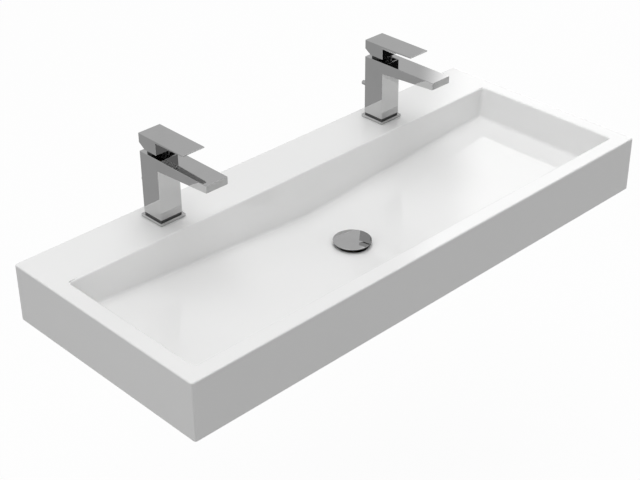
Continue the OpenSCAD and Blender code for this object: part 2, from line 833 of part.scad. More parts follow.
// Upright rod that carries the knob's pull down through the shank
module lift_rod() {
  z_slider = knob_h + slider_top - slider_h;
  z_end = -basin_h - rod_out;
  color(STEEL) difference() {
    union() {
      translate([0, lift_rod_back, z_slider]) cylinder(d = slider_d, h = slider_h);
      translate([0, lift_rod_back, z_end]) cylinder(d = lift_rod_d, h = z_slider - z_end);
    }
    translate([0, lift_rod_back - knob_spigot_in, knob_h])
      y_cylinder(knob_spigot_d + 2 * seat_clear, slider_d);
  }
}

module shank() {
  color(BRASS) translate([0, 0, -deck_t - shank_out])
    ring(shank_d, shank_bore_d, deck_t + shank_out + z_column + thread_in);
}

module rubber_washer() {
  color(BLACK_RUBBER) translate([0, 0, -deck_t - rubber_washer_t])
    ring(washer_d, plate_hole_d, rubber_washer_t);
}

module steel_washer() {
  color(STEEL) translate([0, 0, -deck_t - rubber_washer_t - steel_washer_t])
    ring(washer_d - 2 * steel_washer_in, plate_hole_d, steel_washer_t);
}

module lock_nut() {
  color(BRASS) translate([0, 0, -deck_t - rubber_washer_t - steel_washer_t - lock_nut_h]) difference() {
    hex_prism(lock_nut_w, lock_nut_h);
    translate([0, 0, -over]) cylinder(d = shank_d + 2 * seat_clear, h = lock_nut_h + 2 * over);
  }
}

// Hot and cold tails for compression couplings, with a fine groove as depth mark
module supply_tails() {
  z_end = -basin_h - supply_out;
  color(COPPER) for (sx = [-1, 1]) translate([sx * supply_span / 2, -supply_front, z_end]) difference() {
    ring(supply_d, supply_d - 2 * supply_wall, z_inlet + thread_in - z_end);
    translate([0, 0, plain_end]) ring(supply_d + 2 * over, supply_d - 2 * mark_deep, mark_w);
  }
}

basin();
waste_flange();
flange_gasket();
under_washer();
backnut();
waste_tail();
stem_guide();
plug_cap();
cap_skirt();
plug_seal();
plug_stem();
pivot_rod();
ball_seal();
pivot_nut();

at_tap(left_side) tap_body();  // left_tap_body
at_tap(left_side) base_plate();  // left_base_plate
at_tap(left_side) foot_seal();  // left_foot_seal
at_tap(left_side) deck_seal();  // left_deck_seal
at_tap(left_side) aerator_housing();  // left_aerator_housing
at_tap(left_side) aerator_insert();  // left_aerator_insert
at_tap(left_side) cartridge();  // left_cartridge
at_tap(left_side) ring_nut();  // left_ring_nut
at_tap(left_side) collar();  // left_collar
at_tap(left_side) carrier();  // left_carrier
at_tap(left_side) pivot_pin();  // left_pivot_pin
at_tap(left_side) spindle();  // left_spindle
at_tap(left_side) lever();  // left_lever
at_tap(left_side) grub_screw();  // left_grub_screw
at_tap(left_side) screw_plug();  // left_screw_plug
at_tap(left_side) pull_knob();  // left_pull_knob
at_tap(left_side) lift_rod();  // left_lift_rod
at_tap(left_side) shank();  // left_shank
at_tap(left_side) rubber_washer();  // left_rubber_washer
at_tap(left_side) steel_washer();  // left_steel_washer
at_tap(left_side) lock_nut();  // left_lock_nut
at_tap(left_side) supply_tails();  // left_supply_tails

at_tap(right_side) tap_body();  // right_tap_body
at_tap(right_side) base_plate();  // right_base_plate
at_tap(right_side) foot_seal();  // right_foot_seal
at_tap(right_side) deck_seal();  // right_deck_seal
at_tap(right_side) aerator_housing();  // right_aerator_housing
at_tap(right_side) aerator_insert();  // right_aerator_insert
at_tap(right_side) cartridge();  // right_cartridge
at_tap(right_side) ring_nut();  // right_ring_nut
at_tap(right_side) collar();  // right_collar
at_tap(right_side) carrier();  // right_carrier
at_tap(right_side) pivot_pin();  // right_pivot_pin
at_tap(right_side) spindle();  // right_spindle
at_tap(right_side) lever();  // right_lever
at_tap(right_side) grub_screw();  // right_grub_screw
at_tap(right_side) screw_plug();  // right_screw_plug
at_tap(right_side) pull_knob();  // right_pull_knob
at_tap(right_side) lift_rod();  // right_lift_rod
at_tap(right_side) shank();  // right_shank
at_tap(right_side) rubber_washer();  // right_rubber_washer
at_tap(right_side) steel_washer();  // right_steel_washer
at_tap(right_side) lock_nut();  // right_lock_nut
at_tap(right_side) supply_tails();  // right_supply_tails
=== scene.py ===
"""Looks of a double washbasin: one long ceramic trough, two square mixers and a lift-up plug.

The ceramic and the metal that shows are modelled here with their fine edges, threads and
sockets. The nodes inside them keep their CAD meshes and get their finishes.
"""

import json
import logging
import math
from collections.abc import Callable, Iterable, Iterator, Sequence
from contextlib import contextmanager
from dataclasses import dataclass
from enum import Enum

import bmesh
import bpy
from mathutils import Matrix, Vector


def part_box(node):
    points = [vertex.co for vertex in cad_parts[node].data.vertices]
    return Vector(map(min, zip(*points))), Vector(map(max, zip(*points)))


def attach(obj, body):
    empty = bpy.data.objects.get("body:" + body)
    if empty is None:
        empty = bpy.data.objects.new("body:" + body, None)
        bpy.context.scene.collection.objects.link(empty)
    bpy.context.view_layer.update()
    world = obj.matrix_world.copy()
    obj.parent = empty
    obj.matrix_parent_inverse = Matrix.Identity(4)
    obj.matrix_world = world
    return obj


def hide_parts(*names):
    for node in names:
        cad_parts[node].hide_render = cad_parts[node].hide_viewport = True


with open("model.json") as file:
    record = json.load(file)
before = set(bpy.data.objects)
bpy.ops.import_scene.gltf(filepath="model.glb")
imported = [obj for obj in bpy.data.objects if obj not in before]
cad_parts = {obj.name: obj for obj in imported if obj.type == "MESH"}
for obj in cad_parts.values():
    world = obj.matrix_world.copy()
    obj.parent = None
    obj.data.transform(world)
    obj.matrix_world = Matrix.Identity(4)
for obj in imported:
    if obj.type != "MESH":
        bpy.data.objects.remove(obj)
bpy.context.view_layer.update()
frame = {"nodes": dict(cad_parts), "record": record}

MM = 0.001
# How far off a plane a point may lie to count as on it.
NEAR = 0.05 * MM
# Points closer than this become one.
MERGE = NEAR / 10
# How far a cutter stands out of what it cuts.
OVERRUN = 1 * MM
# How much of a face's normal points the way that the face is said to look.
FACING = 0.9
ROUND_STEPS = 64
WIDE_STEPS = 96
UPWARDS = Vector((0, 0, 1))
BACKWARDS = Vector((0, 1, 0))
NUT_CHAMFER = 0.8 * MM
SOFT_EDGE = 0.6 * MM

Colour = tuple[float, float, float, float]
Ring = tuple[float, float]
PointTest = Callable[[Vector], bool]
EdgeTest = Callable[[Vector, Vector], bool]
FaceTest = Callable[[Vector, Vector], bool]

log = logging.getLogger("washbasin")


def grey(value: float) -> Colour:
    """Gives a plain grey."""
    return (value, value, value, 1.0)


class Signal:
    """The output of a shader node, which Python sums use as they use a number."""

    def __init__(self, graph: "Graph", socket: bpy.types.NodeSocket) -> None:
        """Keeps the output and the graph that its sums are added to."""
        self.graph = graph
        self.socket = socket

    def _math(self, operation: str, other: "Signal | float") -> "Signal":
        """Adds the Math node of one operation on this value and another."""
        return self.graph.add("ShaderNodeMath", {0: self, 1: other}, operation=operation)

    def __add__(self, other: "Signal | float") -> "Signal":
        """Adds this value and another."""
        return self._math("ADD", other)

    def __mul__(self, other: "Signal | float") -> "Signal":
        """Multiplies this value by another."""
        return self._math("MULTIPLY", other)

    def __or__(self, other: "Signal | float") -> "Signal":
        """Gives the larger of this value and another, so that two masks join."""
        return self._math("MAXIMUM", other)

    __radd__ = __add__
    __rmul__ = __mul__


@dataclass(frozen=True)
class Patches:
    """Patches of a noise, which fade in between a low and a high value of it."""

    scale: float
    detail: float
    low: float
    high: float


class Graph:
    """The shader nodes of one material or of the world."""

    def __init__(self, tree: bpy.types.NodeTree) -> None:
        """Empties a node tree and keeps it."""
        self.tree = tree
        tree.nodes.clear()

    def add(
        self,
        kind: str,
        inputs: dict[int | str, object] | None = None,
        output: int | str = 0,
        **settings: object,
    ) -> Signal:
        """Adds one node.

        Args:
            kind: The node's type.
            inputs: The value or the Signal of each socket, by its name or number.
            output: The name or number of the output that is given back.
            **settings: The node's properties, set before its sockets.

        Returns:
            That output.
        """
        node = self.tree.nodes.new(kind)
        for name, value in settings.items():
            setattr(node, name, value)
        for key, value in (inputs or {}).items():
            if isinstance(value, Signal):
                self.tree.links.new(value.socket, node.inputs[key])
            else:
                node.inputs[key].default_value = value
        wanted = node.outputs[output] if len(node.outputs) else None
        return Signal(self, wanted)

    def noise(self, scale: float, detail: float, stretch: Sequence[float] = (1, 1, 1)) -> Signal:
        """Adds a noise that is fixed to the object.

        Args:
            scale: Its cells per metre.
            detail: How many finer layers it has.
            stretch: How much closer its cells lie along each axis.

        Returns:
            Its value, from 0 to 1.
        """
        place = self.add("ShaderNodeTexCoord", output="Object")
        turned = self.add("ShaderNodeMapping", {"Vector": place, "Scale": tuple(stretch)},
                          vector_type="POINT")
        return self.add("ShaderNodeTexNoise", {"Vector": turned, "Scale": scale, "Detail": detail})

    def contrast(self, value: Signal, low: float, high: float) -> Signal:
        """Spreads the stretch of a value between two limits over 0 to 1."""
        return self.add("ShaderNodeMapRange", {"Value": value, "From Min": low, "From Max": high},
                        interpolation_type="SMOOTHSTEP")

    def patches(self, kind: Patches) -> Signal:
        """Adds patches that are fixed to the object, and gives 1 inside them."""
        return self.contrast(self.noise(kind.scale, kind.detail), kind.low, kind.high)

    def blend(self, share: Signal | float, first: Colour, second: Colour) -> Signal:
        """Mixes two colours by a share of the second."""
        return self.add("ShaderNodeMix", {0: share, 6: first, 7: second}, 2, data_type="RGBA")

    def bump(self, height: Signal, depth: float) -> Signal:
        """Raises the surface by a height from 0 to 1, where 1 stands for a depth in metres."""
        return self.add("ShaderNodeBump", {"Height": height, "Distance": depth})

    def principled(
        self, colour: Signal, roughness: Signal, normal: Signal | None = None, **fixed: float
    ) -> Signal:
        """Adds the shader of a real surface.

        Args:
            colour: Its base colour.
            roughness: How rough it is.
            normal: Its normal, if it isn't plain.
            **fixed: The values of further sockets, by their names.

        Returns:
            The shader.
        """
        inputs = {"Base Color": colour, "Roughness": roughness, **fixed}
        if normal is not None:
            inputs["Normal"] = normal
        return self.add("ShaderNodeBsdfPrincipled", inputs)

    def glow(self, tone: float) -> Signal:
        """Adds a shader that shines in one grey, where 1 is white."""
        return self.add("ShaderNodeEmission", {"Color": grey(tone), "Strength": 1.0})

    def matt(self, tone: float) -> Signal:
        """Adds a shader that scatters light evenly, in one grey."""
        return self.add("ShaderNodeBsdfDiffuse", {"Color": grey(tone)})

    def either(self, share: Signal | float, first: Signal, second: Signal) -> Signal:
        """Mixes two shaders by a share of the second."""
        return self.add("ShaderNodeMixShader", {0: share, 1: first, 2: second})


def make_material(name: str, draw: Callable[[Graph], Signal]) -> bpy.types.Material:
    """Makes a material from the shader that a function draws."""
    made = bpy.data.materials.new(name)
    made.use_nodes = True
    graph = Graph(made.node_tree)
    graph.add("ShaderNodeOutputMaterial", {"Surface": draw(graph)})
    return made


class Slot(Enum):
    """The record's material slots."""

    GLAZE = "glazed_ceramic"
    CHROME = "chrome"
    BRASS = "brass"
    STEEL = "steel"
    COPPER = "copper"
    RUBBER = "black_rubber"
    GREY_PLASTIC = "grey_plastic"
    WHITE_PLASTIC = "white_plastic"


@dataclass(frozen=True)
class Finish:
    """One surface finish. Each kind of finish draws its own nodes."""

    name: str
    colour: Colour

    def material(self) -> bpy.types.Material:
        """Gives the finish's material, made on its first use."""
        made = bpy.data.materials.get(self.name)
        if made is None:
            made = make_material(self.name, self.surface)
            made.diffuse_color = self.colour
        return made

    def surface(self, graph: Graph) -> Signal:
        """Draws the nodes of the finish and gives its shader."""
        raise NotImplementedError


@dataclass(frozen=True)
class Glaze(Finish):
    """Fired glaze: a glassy coat with faint clouds in its white and slow ripples."""

    cloud: Colour = grey(0.8)
    clouds: Patches = Patches(2.6, 4.0, 0.35, 0.75)
    cloud_share: float = 0.5
    specks: Patches = Patches(420.0, 1.0, 0.74, 0.8)
    speck_share: float = 0.25
    worn: Patches = Patches(9.0, 3.0, 0.4, 0.7)
    gloss: float = 0.015
    gloss_spread: float = 0.02
    ripple_scale: float = 14.0
    ripple_detail: float = 1.0
    ripple: float = 0.06 * MM
    refraction: float = 1.52

    def surface(self, graph: Graph) -> Signal:
        """Draws clouds, gloss and ripples."""
        clouds = graph.patches(self.clouds) * self.cloud_share
        specks = graph.patches(self.specks) * self.speck_share
        tone = graph.blend(clouds + specks, self.colour, self.cloud)
        rough = self.gloss + self.gloss_spread * graph.patches(self.worn)
        normal = graph.bump(graph.noise(self.ripple_scale, self.ripple_detail), self.ripple)
        return graph.principled(tone, rough, normal, IOR=self.refraction)


@dataclass(frozen=True)
class Metal(Finish):
    """Polished, turned or drawn metal with a second tone where it has dulled."""

    dull: Colour = grey(0.4)
    dull_share: float = 0.2
    dulled: Patches = Patches(28.0, 4.0, 0.42, 0.72)
    gloss: float = 0.04
    gloss_spread: float = 0.03
    lines: Sequence[float] = (1, 1, 1)
    line_scale: float = 60.0
    line_detail: float = 3.0
    line_depth: float = 0.0

    def surface(self, graph: Graph) -> Signal:
        """Draws the two tones, the gloss and any fine lines."""
        dulled = graph.patches(self.dulled)
        fine = graph.noise(self.line_scale, self.line_detail, self.lines)
        tone = graph.blend(dulled * self.dull_share, self.colour, self.dull)
        rough = self.gloss + self.gloss_spread * dulled + self.gloss_spread * fine
        normal = graph.bump(fine, self.line_depth) if self.line_depth else None
        return graph.principled(tone, rough, normal, Metallic=1.0)


@dataclass(frozen=True)
class Matt(Finish):
    """Rubber, plastic or bare clay: a fine grain, and blotches of a second tone."""

    faded: Colour = grey(0.1)
    blotches: Patches = Patches(45.0, 4.0, 0.45, 0.75)
    blotch_share: float = 0.5
    grain_scale: float = 700.0
    grain_detail: float = 2.0
    grain_share: float = 0.2
    grain: float = 0.03 * MM
    roughness: float = 0.5
    rough_spread: float = 0.12

    def surface(self, graph: Graph) -> Signal:
        """Draws the blotches and the grain."""
        blotches = graph.patches(self.blotches) * self.blotch_share
        fine = graph.noise(self.grain_scale, self.grain_detail)
        tone = graph.blend(blotches + fine * self.grain_share, self.colour, self.faded)
        rough = self.roughness + self.rough_spread * fine
        return graph.principled(tone, rough, graph.bump(fine, self.grain))


FINISHES: dict[Slot, Finish] = {
    Slot.GLAZE: Glaze("white_glaze", (0.9, 0.9, 0.897, 1.0), cloud=(0.88, 0.883, 0.88, 1.0)),
    Slot.CHROME: Metal("polished_chrome", grey(0.55), dull=grey(0.5), dull_share=0.3, gloss=0.02,
                       gloss_spread=0.02),
    Slot.BRASS: Metal("turned_brass", (0.66, 0.47, 0.2, 1.0), dull=(0.4, 0.27, 0.12, 1.0),
                      dull_share=0.6, gloss=0.2, gloss_spread=0.15, lines=(1, 1, 12),
                      line_depth=0.02 * MM),
    Slot.STEEL: Metal("brushed_steel", (0.5, 0.5, 0.51, 1.0), dull=grey(0.34), dull_share=0.4,
                      gloss=0.18, gloss_spread=0.12, lines=(1, 1, 10), line_depth=0.01 * MM),
    Slot.COPPER: Metal("drawn_copper", (0.7, 0.33, 0.2, 1.0), dull=(0.36, 0.17, 0.11, 1.0),
                       dull_share=0.7, gloss=0.16, gloss_spread=0.16, lines=(8, 8, 1),
                       line_depth=0.01 * MM),
    Slot.RUBBER: Matt("black_rubber_moulded", grey(0.012), faded=grey(0.03), roughness=0.55),
    Slot.GREY_PLASTIC: Matt("grey_plastic_moulded", (0.33, 0.34, 0.36, 1.0), faded=grey(0.42),
                            roughness=0.4),
    Slot.WHITE_PLASTIC: Matt("white_plastic_moulded", (0.76, 0.76, 0.73, 1.0), faded=grey(0.66),
                             roughness=0.38),
}
BISQUE = Matt("bare_clay", (0.76, 0.745, 0.71, 1.0), faded=grey(0.6),
              blotches=Patches(18.0, 6.0, 0.45, 0.8), blotch_share=0.22, grain_scale=900.0,
              grain_detail=3.0, grain_share=0.15, grain=0.05 * MM, roughness=0.75,
              rough_spread=0.15)
FOOT_RUBBER = Matt("foot_seal_rubber", grey(0.09), faded=grey(0.105), roughness=0.32,
                   grain=0.01 * MM)
# Near-black chrome for the collar under the lever block: painted shade, where the gap under the
# block lies in shade.
SHADED_COLLAR_CHROME = Metal("smoked_chrome", grey(0.06), dull=grey(0.045), dull_share=0.3, gloss=0.04,
                    gloss_spread=0.02)
# Rougher, darker chrome for the underside of the lever plate: the rougher gloss is a satin
# underside, and the darker tone is painted shade under the plate.
SATIN_SHADED_CHROME = Metal("satin_chrome", grey(0.36), dull=grey(0.3), dull_share=0.3, gloss=0.32,
                     gloss_spread=0.06)
# Dark rough metal for the room inside the lever block: the roughness is the unplated casting, and
# the dark tone is painted shade in that recess.
SHADED_CASTING_INSIDE = Metal("rough_casting", grey(0.16), dull=grey(0.1), dull_share=0.5, gloss=0.5,
                    gloss_spread=0.1, line_scale=900.0, line_depth=0.03 * MM)


class Element(Enum):
    """What edit mode selects."""

    POINT = "VERT"
    EDGE = "EDGE"
    FACE = "FACE"


class Axis(Enum):
    """The direction in which a turned piece is drawn out, as its turn from upright."""

    UP = (0.0, 0.0, 0.0)
    BACK = (-math.pi / 2, 0.0, 0.0)

    @property
    def along(self) -> Vector:
        """The direction itself."""
        return UPWARDS if self is Axis.UP else BACKWARDS


def choose(obj: bpy.types.Object) -> None:
    """Deselects everything, then selects one object and makes it the active one."""
    bpy.ops.object.select_all(action="DESELECT")
    obj.select_set(True)
    bpy.context.view_layer.objects.active = obj


def select(elements: Iterable[object], test: Callable[..., bool]) -> None:
    """Selects the points, edges or faces that pass a test."""
    for element in elements:
        if test(element):
            element.select_set(True)


def upright(a: Vector, b: Vector) -> bool:
    """Tells whether an edge stands upright."""
    return abs(a.x - b.x) < NEAR and abs(a.y - b.y) < NEAR


def level_at(z: float) -> EdgeTest:
    """Gives a test for edges that lie at one height."""
    return lambda a, b: abs(a.z - z) < NEAR and abs(b.z - z) < NEAR


class Workpiece:
    """One mesh on the bench. Its methods shape it with Blender's operators and give it back."""

    def __init__(self, obj: bpy.types.Object) -> None:
        """Keeps the object that is worked on."""
        self.obj = obj

    @classmethod
    def _start(cls, name: str, add: Callable[..., object], **options: object) -> "Workpiece":
        """Adds a primitive by its operator, names it and puts its place into its mesh."""
        bpy.ops.object.select_all(action="DESELECT")
        add(**options)
        obj = bpy.context.object
        obj.name = name
        obj.data.name = name
        bpy.ops.object.transform_apply(location=True, rotation=True, scale=True)
        return cls(obj)

    def _settle(self, place: Vector, axis: Axis = Axis.UP) -> "Workpiece":
        """Turns and moves the finished piece, and puts both into its mesh."""
        self.obj.rotation_euler = axis.value
        self.obj.location = place
        choose(self.obj)
        bpy.ops.object.transform_apply(location=True, rotation=True, scale=True)
        return self

    @classmethod
    def block(cls, name: str, low: Vector, high: Vector) -> "Workpiece":
        """Starts a piece from a box between two corners."""
        return cls._start(name, bpy.ops.mesh.primitive_cube_add, size=1,
                          location=(low + high) / 2, scale=high - low)

    @classmethod
    def hexagon(cls, name: str, foot: Vector, corner: float, height: float) -> "Workpiece":
        """Starts a piece from an upright hexagon bar, given from its axis to a corner."""
        return cls._start(name, bpy.ops.mesh.primitive_cylinder_add, vertices=6, radius=corner,
                          depth=height, location=foot + height / 2 * UPWARDS)

    @classmethod
    def turned(
        cls,
        name: str,
        foot: Vector,
        profile: Sequence[Ring],
        axis: Axis = Axis.UP,
        hollow: bool = False,
        steps: int = ROUND_STEPS,
    ) -> "Workpiece":
        """Draws a circle out ring by ring, as on a lathe.

        Args:
            name: The piece's name.
            foot: The point on the axis that the levels count from.
            profile: The radius and level of each ring.
            axis: The direction of the axis.
            hollow: Whether the last ring joins the first. Otherwise both ends are capped.
            steps: How many sides the circle has.

        Returns:
            The piece.
        """
        radius, level = profile[0]
        piece = cls._start(name, bpy.ops.mesh.primitive_circle_add, vertices=steps,
                           radius=radius, location=(0, 0, level))
        rings = list(profile[1:]) + ([profile[0]] if hollow else [])
        with piece.editing(Element.EDGE, everything=True):
            if not hollow:
                bpy.ops.mesh.edge_face_add()
            for new_radius, new_level in rings:
                bpy.ops.mesh.extrude_edges_move()
                bpy.ops.transform.translate(value=(0, 0, new_level - level))
                share = new_radius / radius
                bpy.ops.transform.resize(value=(share, share, 1),
                                         center_override=(0, 0, new_level))
                radius, level = new_radius, new_level
            if not hollow:
                bpy.ops.mesh.edge_face_add()
        return piece.mend()._settle(foot, axis)

    @classmethod
    def rod(
        cls, name: str, foot: Vector, diameter: float, length: float, axis: Axis = Axis.UP
    ) -> "Workpiece":
        """Starts a piece from a round rod."""
        return cls.turned(name, foot, [(diameter / 2, 0.0), (diameter / 2, length)], axis)

    @classmethod
    def drill(
        cls, name: str, foot: Vector, diameter: float, length: float, axis: Axis = Axis.UP
    ) -> "Workpiece":
        """Starts the cutter of a through hole: a rod that stands out of both its ends."""
        return cls.rod(name, foot - OVERRUN * axis.along, diameter, length + 2 * OVERRUN, axis)

    @classmethod
    def screw_thread(
        cls, name: str, foot: Vector, diameter: float, length: float, pitch: float, steps: int = 40
    ) -> "Workpiece":
        """Winds one tooth into a solid threaded rod, cut square at both ends.

        Args:
            name: The piece's name.
            foot: The middle of its lower end.
            diameter: The thread's outer diameter.
            length: Its length.
            pitch: The rise of one turn.
            steps: How many sides a turn has.

        Returns:
            The rod.
        """
        tooth, flat = 0.55 * pitch, pitch / 8
        flank = pitch / 2 - flat
        piece = cls._start(name, bpy.ops.mesh.primitive_plane_add, size=pitch,
                           location=(0, 0, 0))
        with piece.editing(Element.POINT, everything=True):
            bpy.ops.mesh.merge(type="CENTER")
            bpy.ops.transform.translate(value=(diameter / 2 - tooth, 0, -pitch))
            for out, up in ((tooth, flank), (0, flat), (-tooth, flank), (0, flat)):
                bpy.ops.mesh.extrude_vertices_move(TRANSFORM_OT_translate={"value": (out, 0, up)})
        screw = piece.obj.modifiers.new("turns", "SCREW")
        screw.screw_offset = pitch
        # Two turns more than the length needs, so that both ends can be cut square.
        screw.iterations = math.ceil(length / pitch) + 2
        screw.steps = screw.render_steps = steps
        screw.use_merge_vertices = True
        screw.merge_threshold = MERGE
        piece.apply("turns").mend()
        for height, outwards in ((0.0, -UPWARDS), (length, UPWARDS)):
            piece.slice(height * UPWARDS, outwards, keep_outer=False)
        return piece.mend()._settle(foot)

    @contextmanager
    def editing(self, element: Element, everything: bool = False) -> Iterator[bmesh.types.BMesh]:
        """Opens the mesh in edit mode with all or nothing selected, and closes it again."""
        choose(self.obj)
        bpy.ops.object.mode_set(mode="EDIT")
        bpy.ops.mesh.select_mode(type=element.value)
        bpy.ops.mesh.select_all(action="SELECT" if everything else "DESELECT")
        yield bmesh.from_edit_mesh(self.obj.data)
        bpy.ops.object.mode_set(mode="OBJECT")

    def apply(self, modifier: str) -> "Workpiece":
        """Applies one modifier."""
        choose(self.obj)
        bpy.ops.object.modifier_apply(modifier=modifier)
        return self

    def mend(self) -> "Workpiece":
        """Merges points that lie together and turns all faces outwards."""
        with self.editing(Element.FACE, everything=True):
            bpy.ops.mesh.remove_doubles(threshold=MERGE)
            bpy.ops.mesh.normals_make_consistent(inside=False)
        return self

    def bevel(self, test: EdgeTest, width: float, segments: int = 3) -> "Workpiece":
        """Rounds the edges that pass a test of their two ends."""
        with self.editing(Element.EDGE) as mesh:
            select(mesh.edges, lambda edge: test(edge.verts[0].co, edge.verts[1].co))
            bpy.ops.mesh.bevel(offset=width, segments=segments, profile=0.5, affect="EDGES")
        return self

    def bevel_sharp(self, width: float, segments: int = 3, angle: float = 15.0) -> "Workpiece":
        """Rounds every edge that turns by more than an angle in degrees."""
        with self.editing(Element.EDGE):
            bpy.ops.mesh.edges_select_sharp(sharpness=math.radians(angle))
            bpy.ops.mesh.bevel(offset=width, segments=segments, profile=0.5, affect="EDGES")
        return self

    def shift_points(self, test: PointTest, by: Sequence[float]) -> "Workpiece":
        """Moves the points that pass a test."""
        with self.editing(Element.POINT) as mesh:
            select(mesh.verts, lambda point: test(point.co))
            bpy.ops.transform.translate(value=by)
        return self

    def pull_faces(self, test: FaceTest, by: Sequence[float]) -> "Workpiece":
        """Extrudes the faces whose centre and normal pass a test."""
        with self.editing(Element.FACE) as mesh:
            select(mesh.faces, lambda face: test(face.calc_center_median(), face.normal))
            bpy.ops.mesh.extrude_region_move(TRANSFORM_OT_translate={"value": by})
        return self

    def slice(self, point: Vector, normal: Vector, keep_outer: bool = True) -> "Workpiece":
        """Cuts the mesh along a plane, and takes away what lies beyond it unless it's kept."""
        with self.editing(Element.FACE, everything=True):
            bpy.ops.mesh.bisect(plane_co=point, plane_no=normal, use_fill=not keep_outer,
                                clear_outer=not keep_outer, threshold=MERGE)
        return self

    def _combine(self, other: "Workpiece", operation: str) -> "Workpiece":
        """Runs a Boolean with another piece, which is used up."""
        modifier = self.obj.modifiers.new(operation, "BOOLEAN")
        modifier.operation = operation
        modifier.solver = "EXACT"
        modifier.object = other.obj
        self.apply(operation)
        bpy.data.objects.remove(other.obj)
        return self

    def cut(self, *tools: "Workpiece") -> "Workpiece":
        """Takes away the space of other pieces."""
        for tool in tools:
            self._combine(tool, "DIFFERENCE")
        return self

    def weld(self, *others: "Workpiece") -> "Workpiece":
        """Joins other pieces on."""
        for other in others:
            self._combine(other, "UNION")
        return self

    def keep_inside(self, other: "Workpiece") -> "Workpiece":
        """Keeps what lies inside another piece."""
        return self._combine(other, "INTERSECT")

    def copy(self, name: str, by: Vector) -> "Workpiece":
        """Copies the piece with its own mesh, to another place."""
        twin = self.obj.copy()
        twin.data = self.obj.data.copy()
        twin.name = name
        twin.data.name = name
        twin.data.transform(Matrix.Translation(by))
        bpy.context.scene.collection.objects.link(twin)
        return Workpiece(twin)

    def smooth(self, angle: float = 35.0) -> "Workpiece":
        """Shades the rounded edges smooth and keeps the flat faces flat."""
        choose(self.obj)
        bpy.ops.object.shade_smooth_by_angle(angle=math.radians(angle))
        weighted = self.obj.modifiers.new("flats", "WEIGHTED_NORMAL")
        weighted.keep_sharp = True
        weighted.weight = 100
        return self.apply("flats")

    def coat(self, finish: Finish) -> "Workpiece":
        """Gives one finish to the whole piece."""
        self.obj.data.materials.clear()
        self.obj.data.materials.append(finish.material())
        return self

    def paint(self, finish: Finish, test: FaceTest) -> "Workpiece":
        """Gives a further finish to the faces whose centre and normal pass a test."""
        self.obj.data.materials.append(finish.material())
        last = len(self.obj.data.materials) - 1
        for face in self.obj.data.polygons:
            if test(face.center, face.normal):
                face.material_index = last
        return self

    def fit(self, slot: Slot, body: str, *nodes: str) -> "Workpiece":
        """Puts the piece on the object, in its slot's finish unless it has one of its own.

        Args:
            slot: The record's material slot.
            body: The CAD body that it moves with.
            nodes: The CAD nodes that it stands for.

        Returns:
            The piece.
        """
        if not self.obj.data.materials:
            self.coat(FINISHES[slot])
        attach(self.obj, body)
        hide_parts(*nodes)
        log.info("%s: %d faces on %s, for %s", self.obj.name, len(self.obj.data.polygons), body,
                 ", ".join(nodes))
        return self


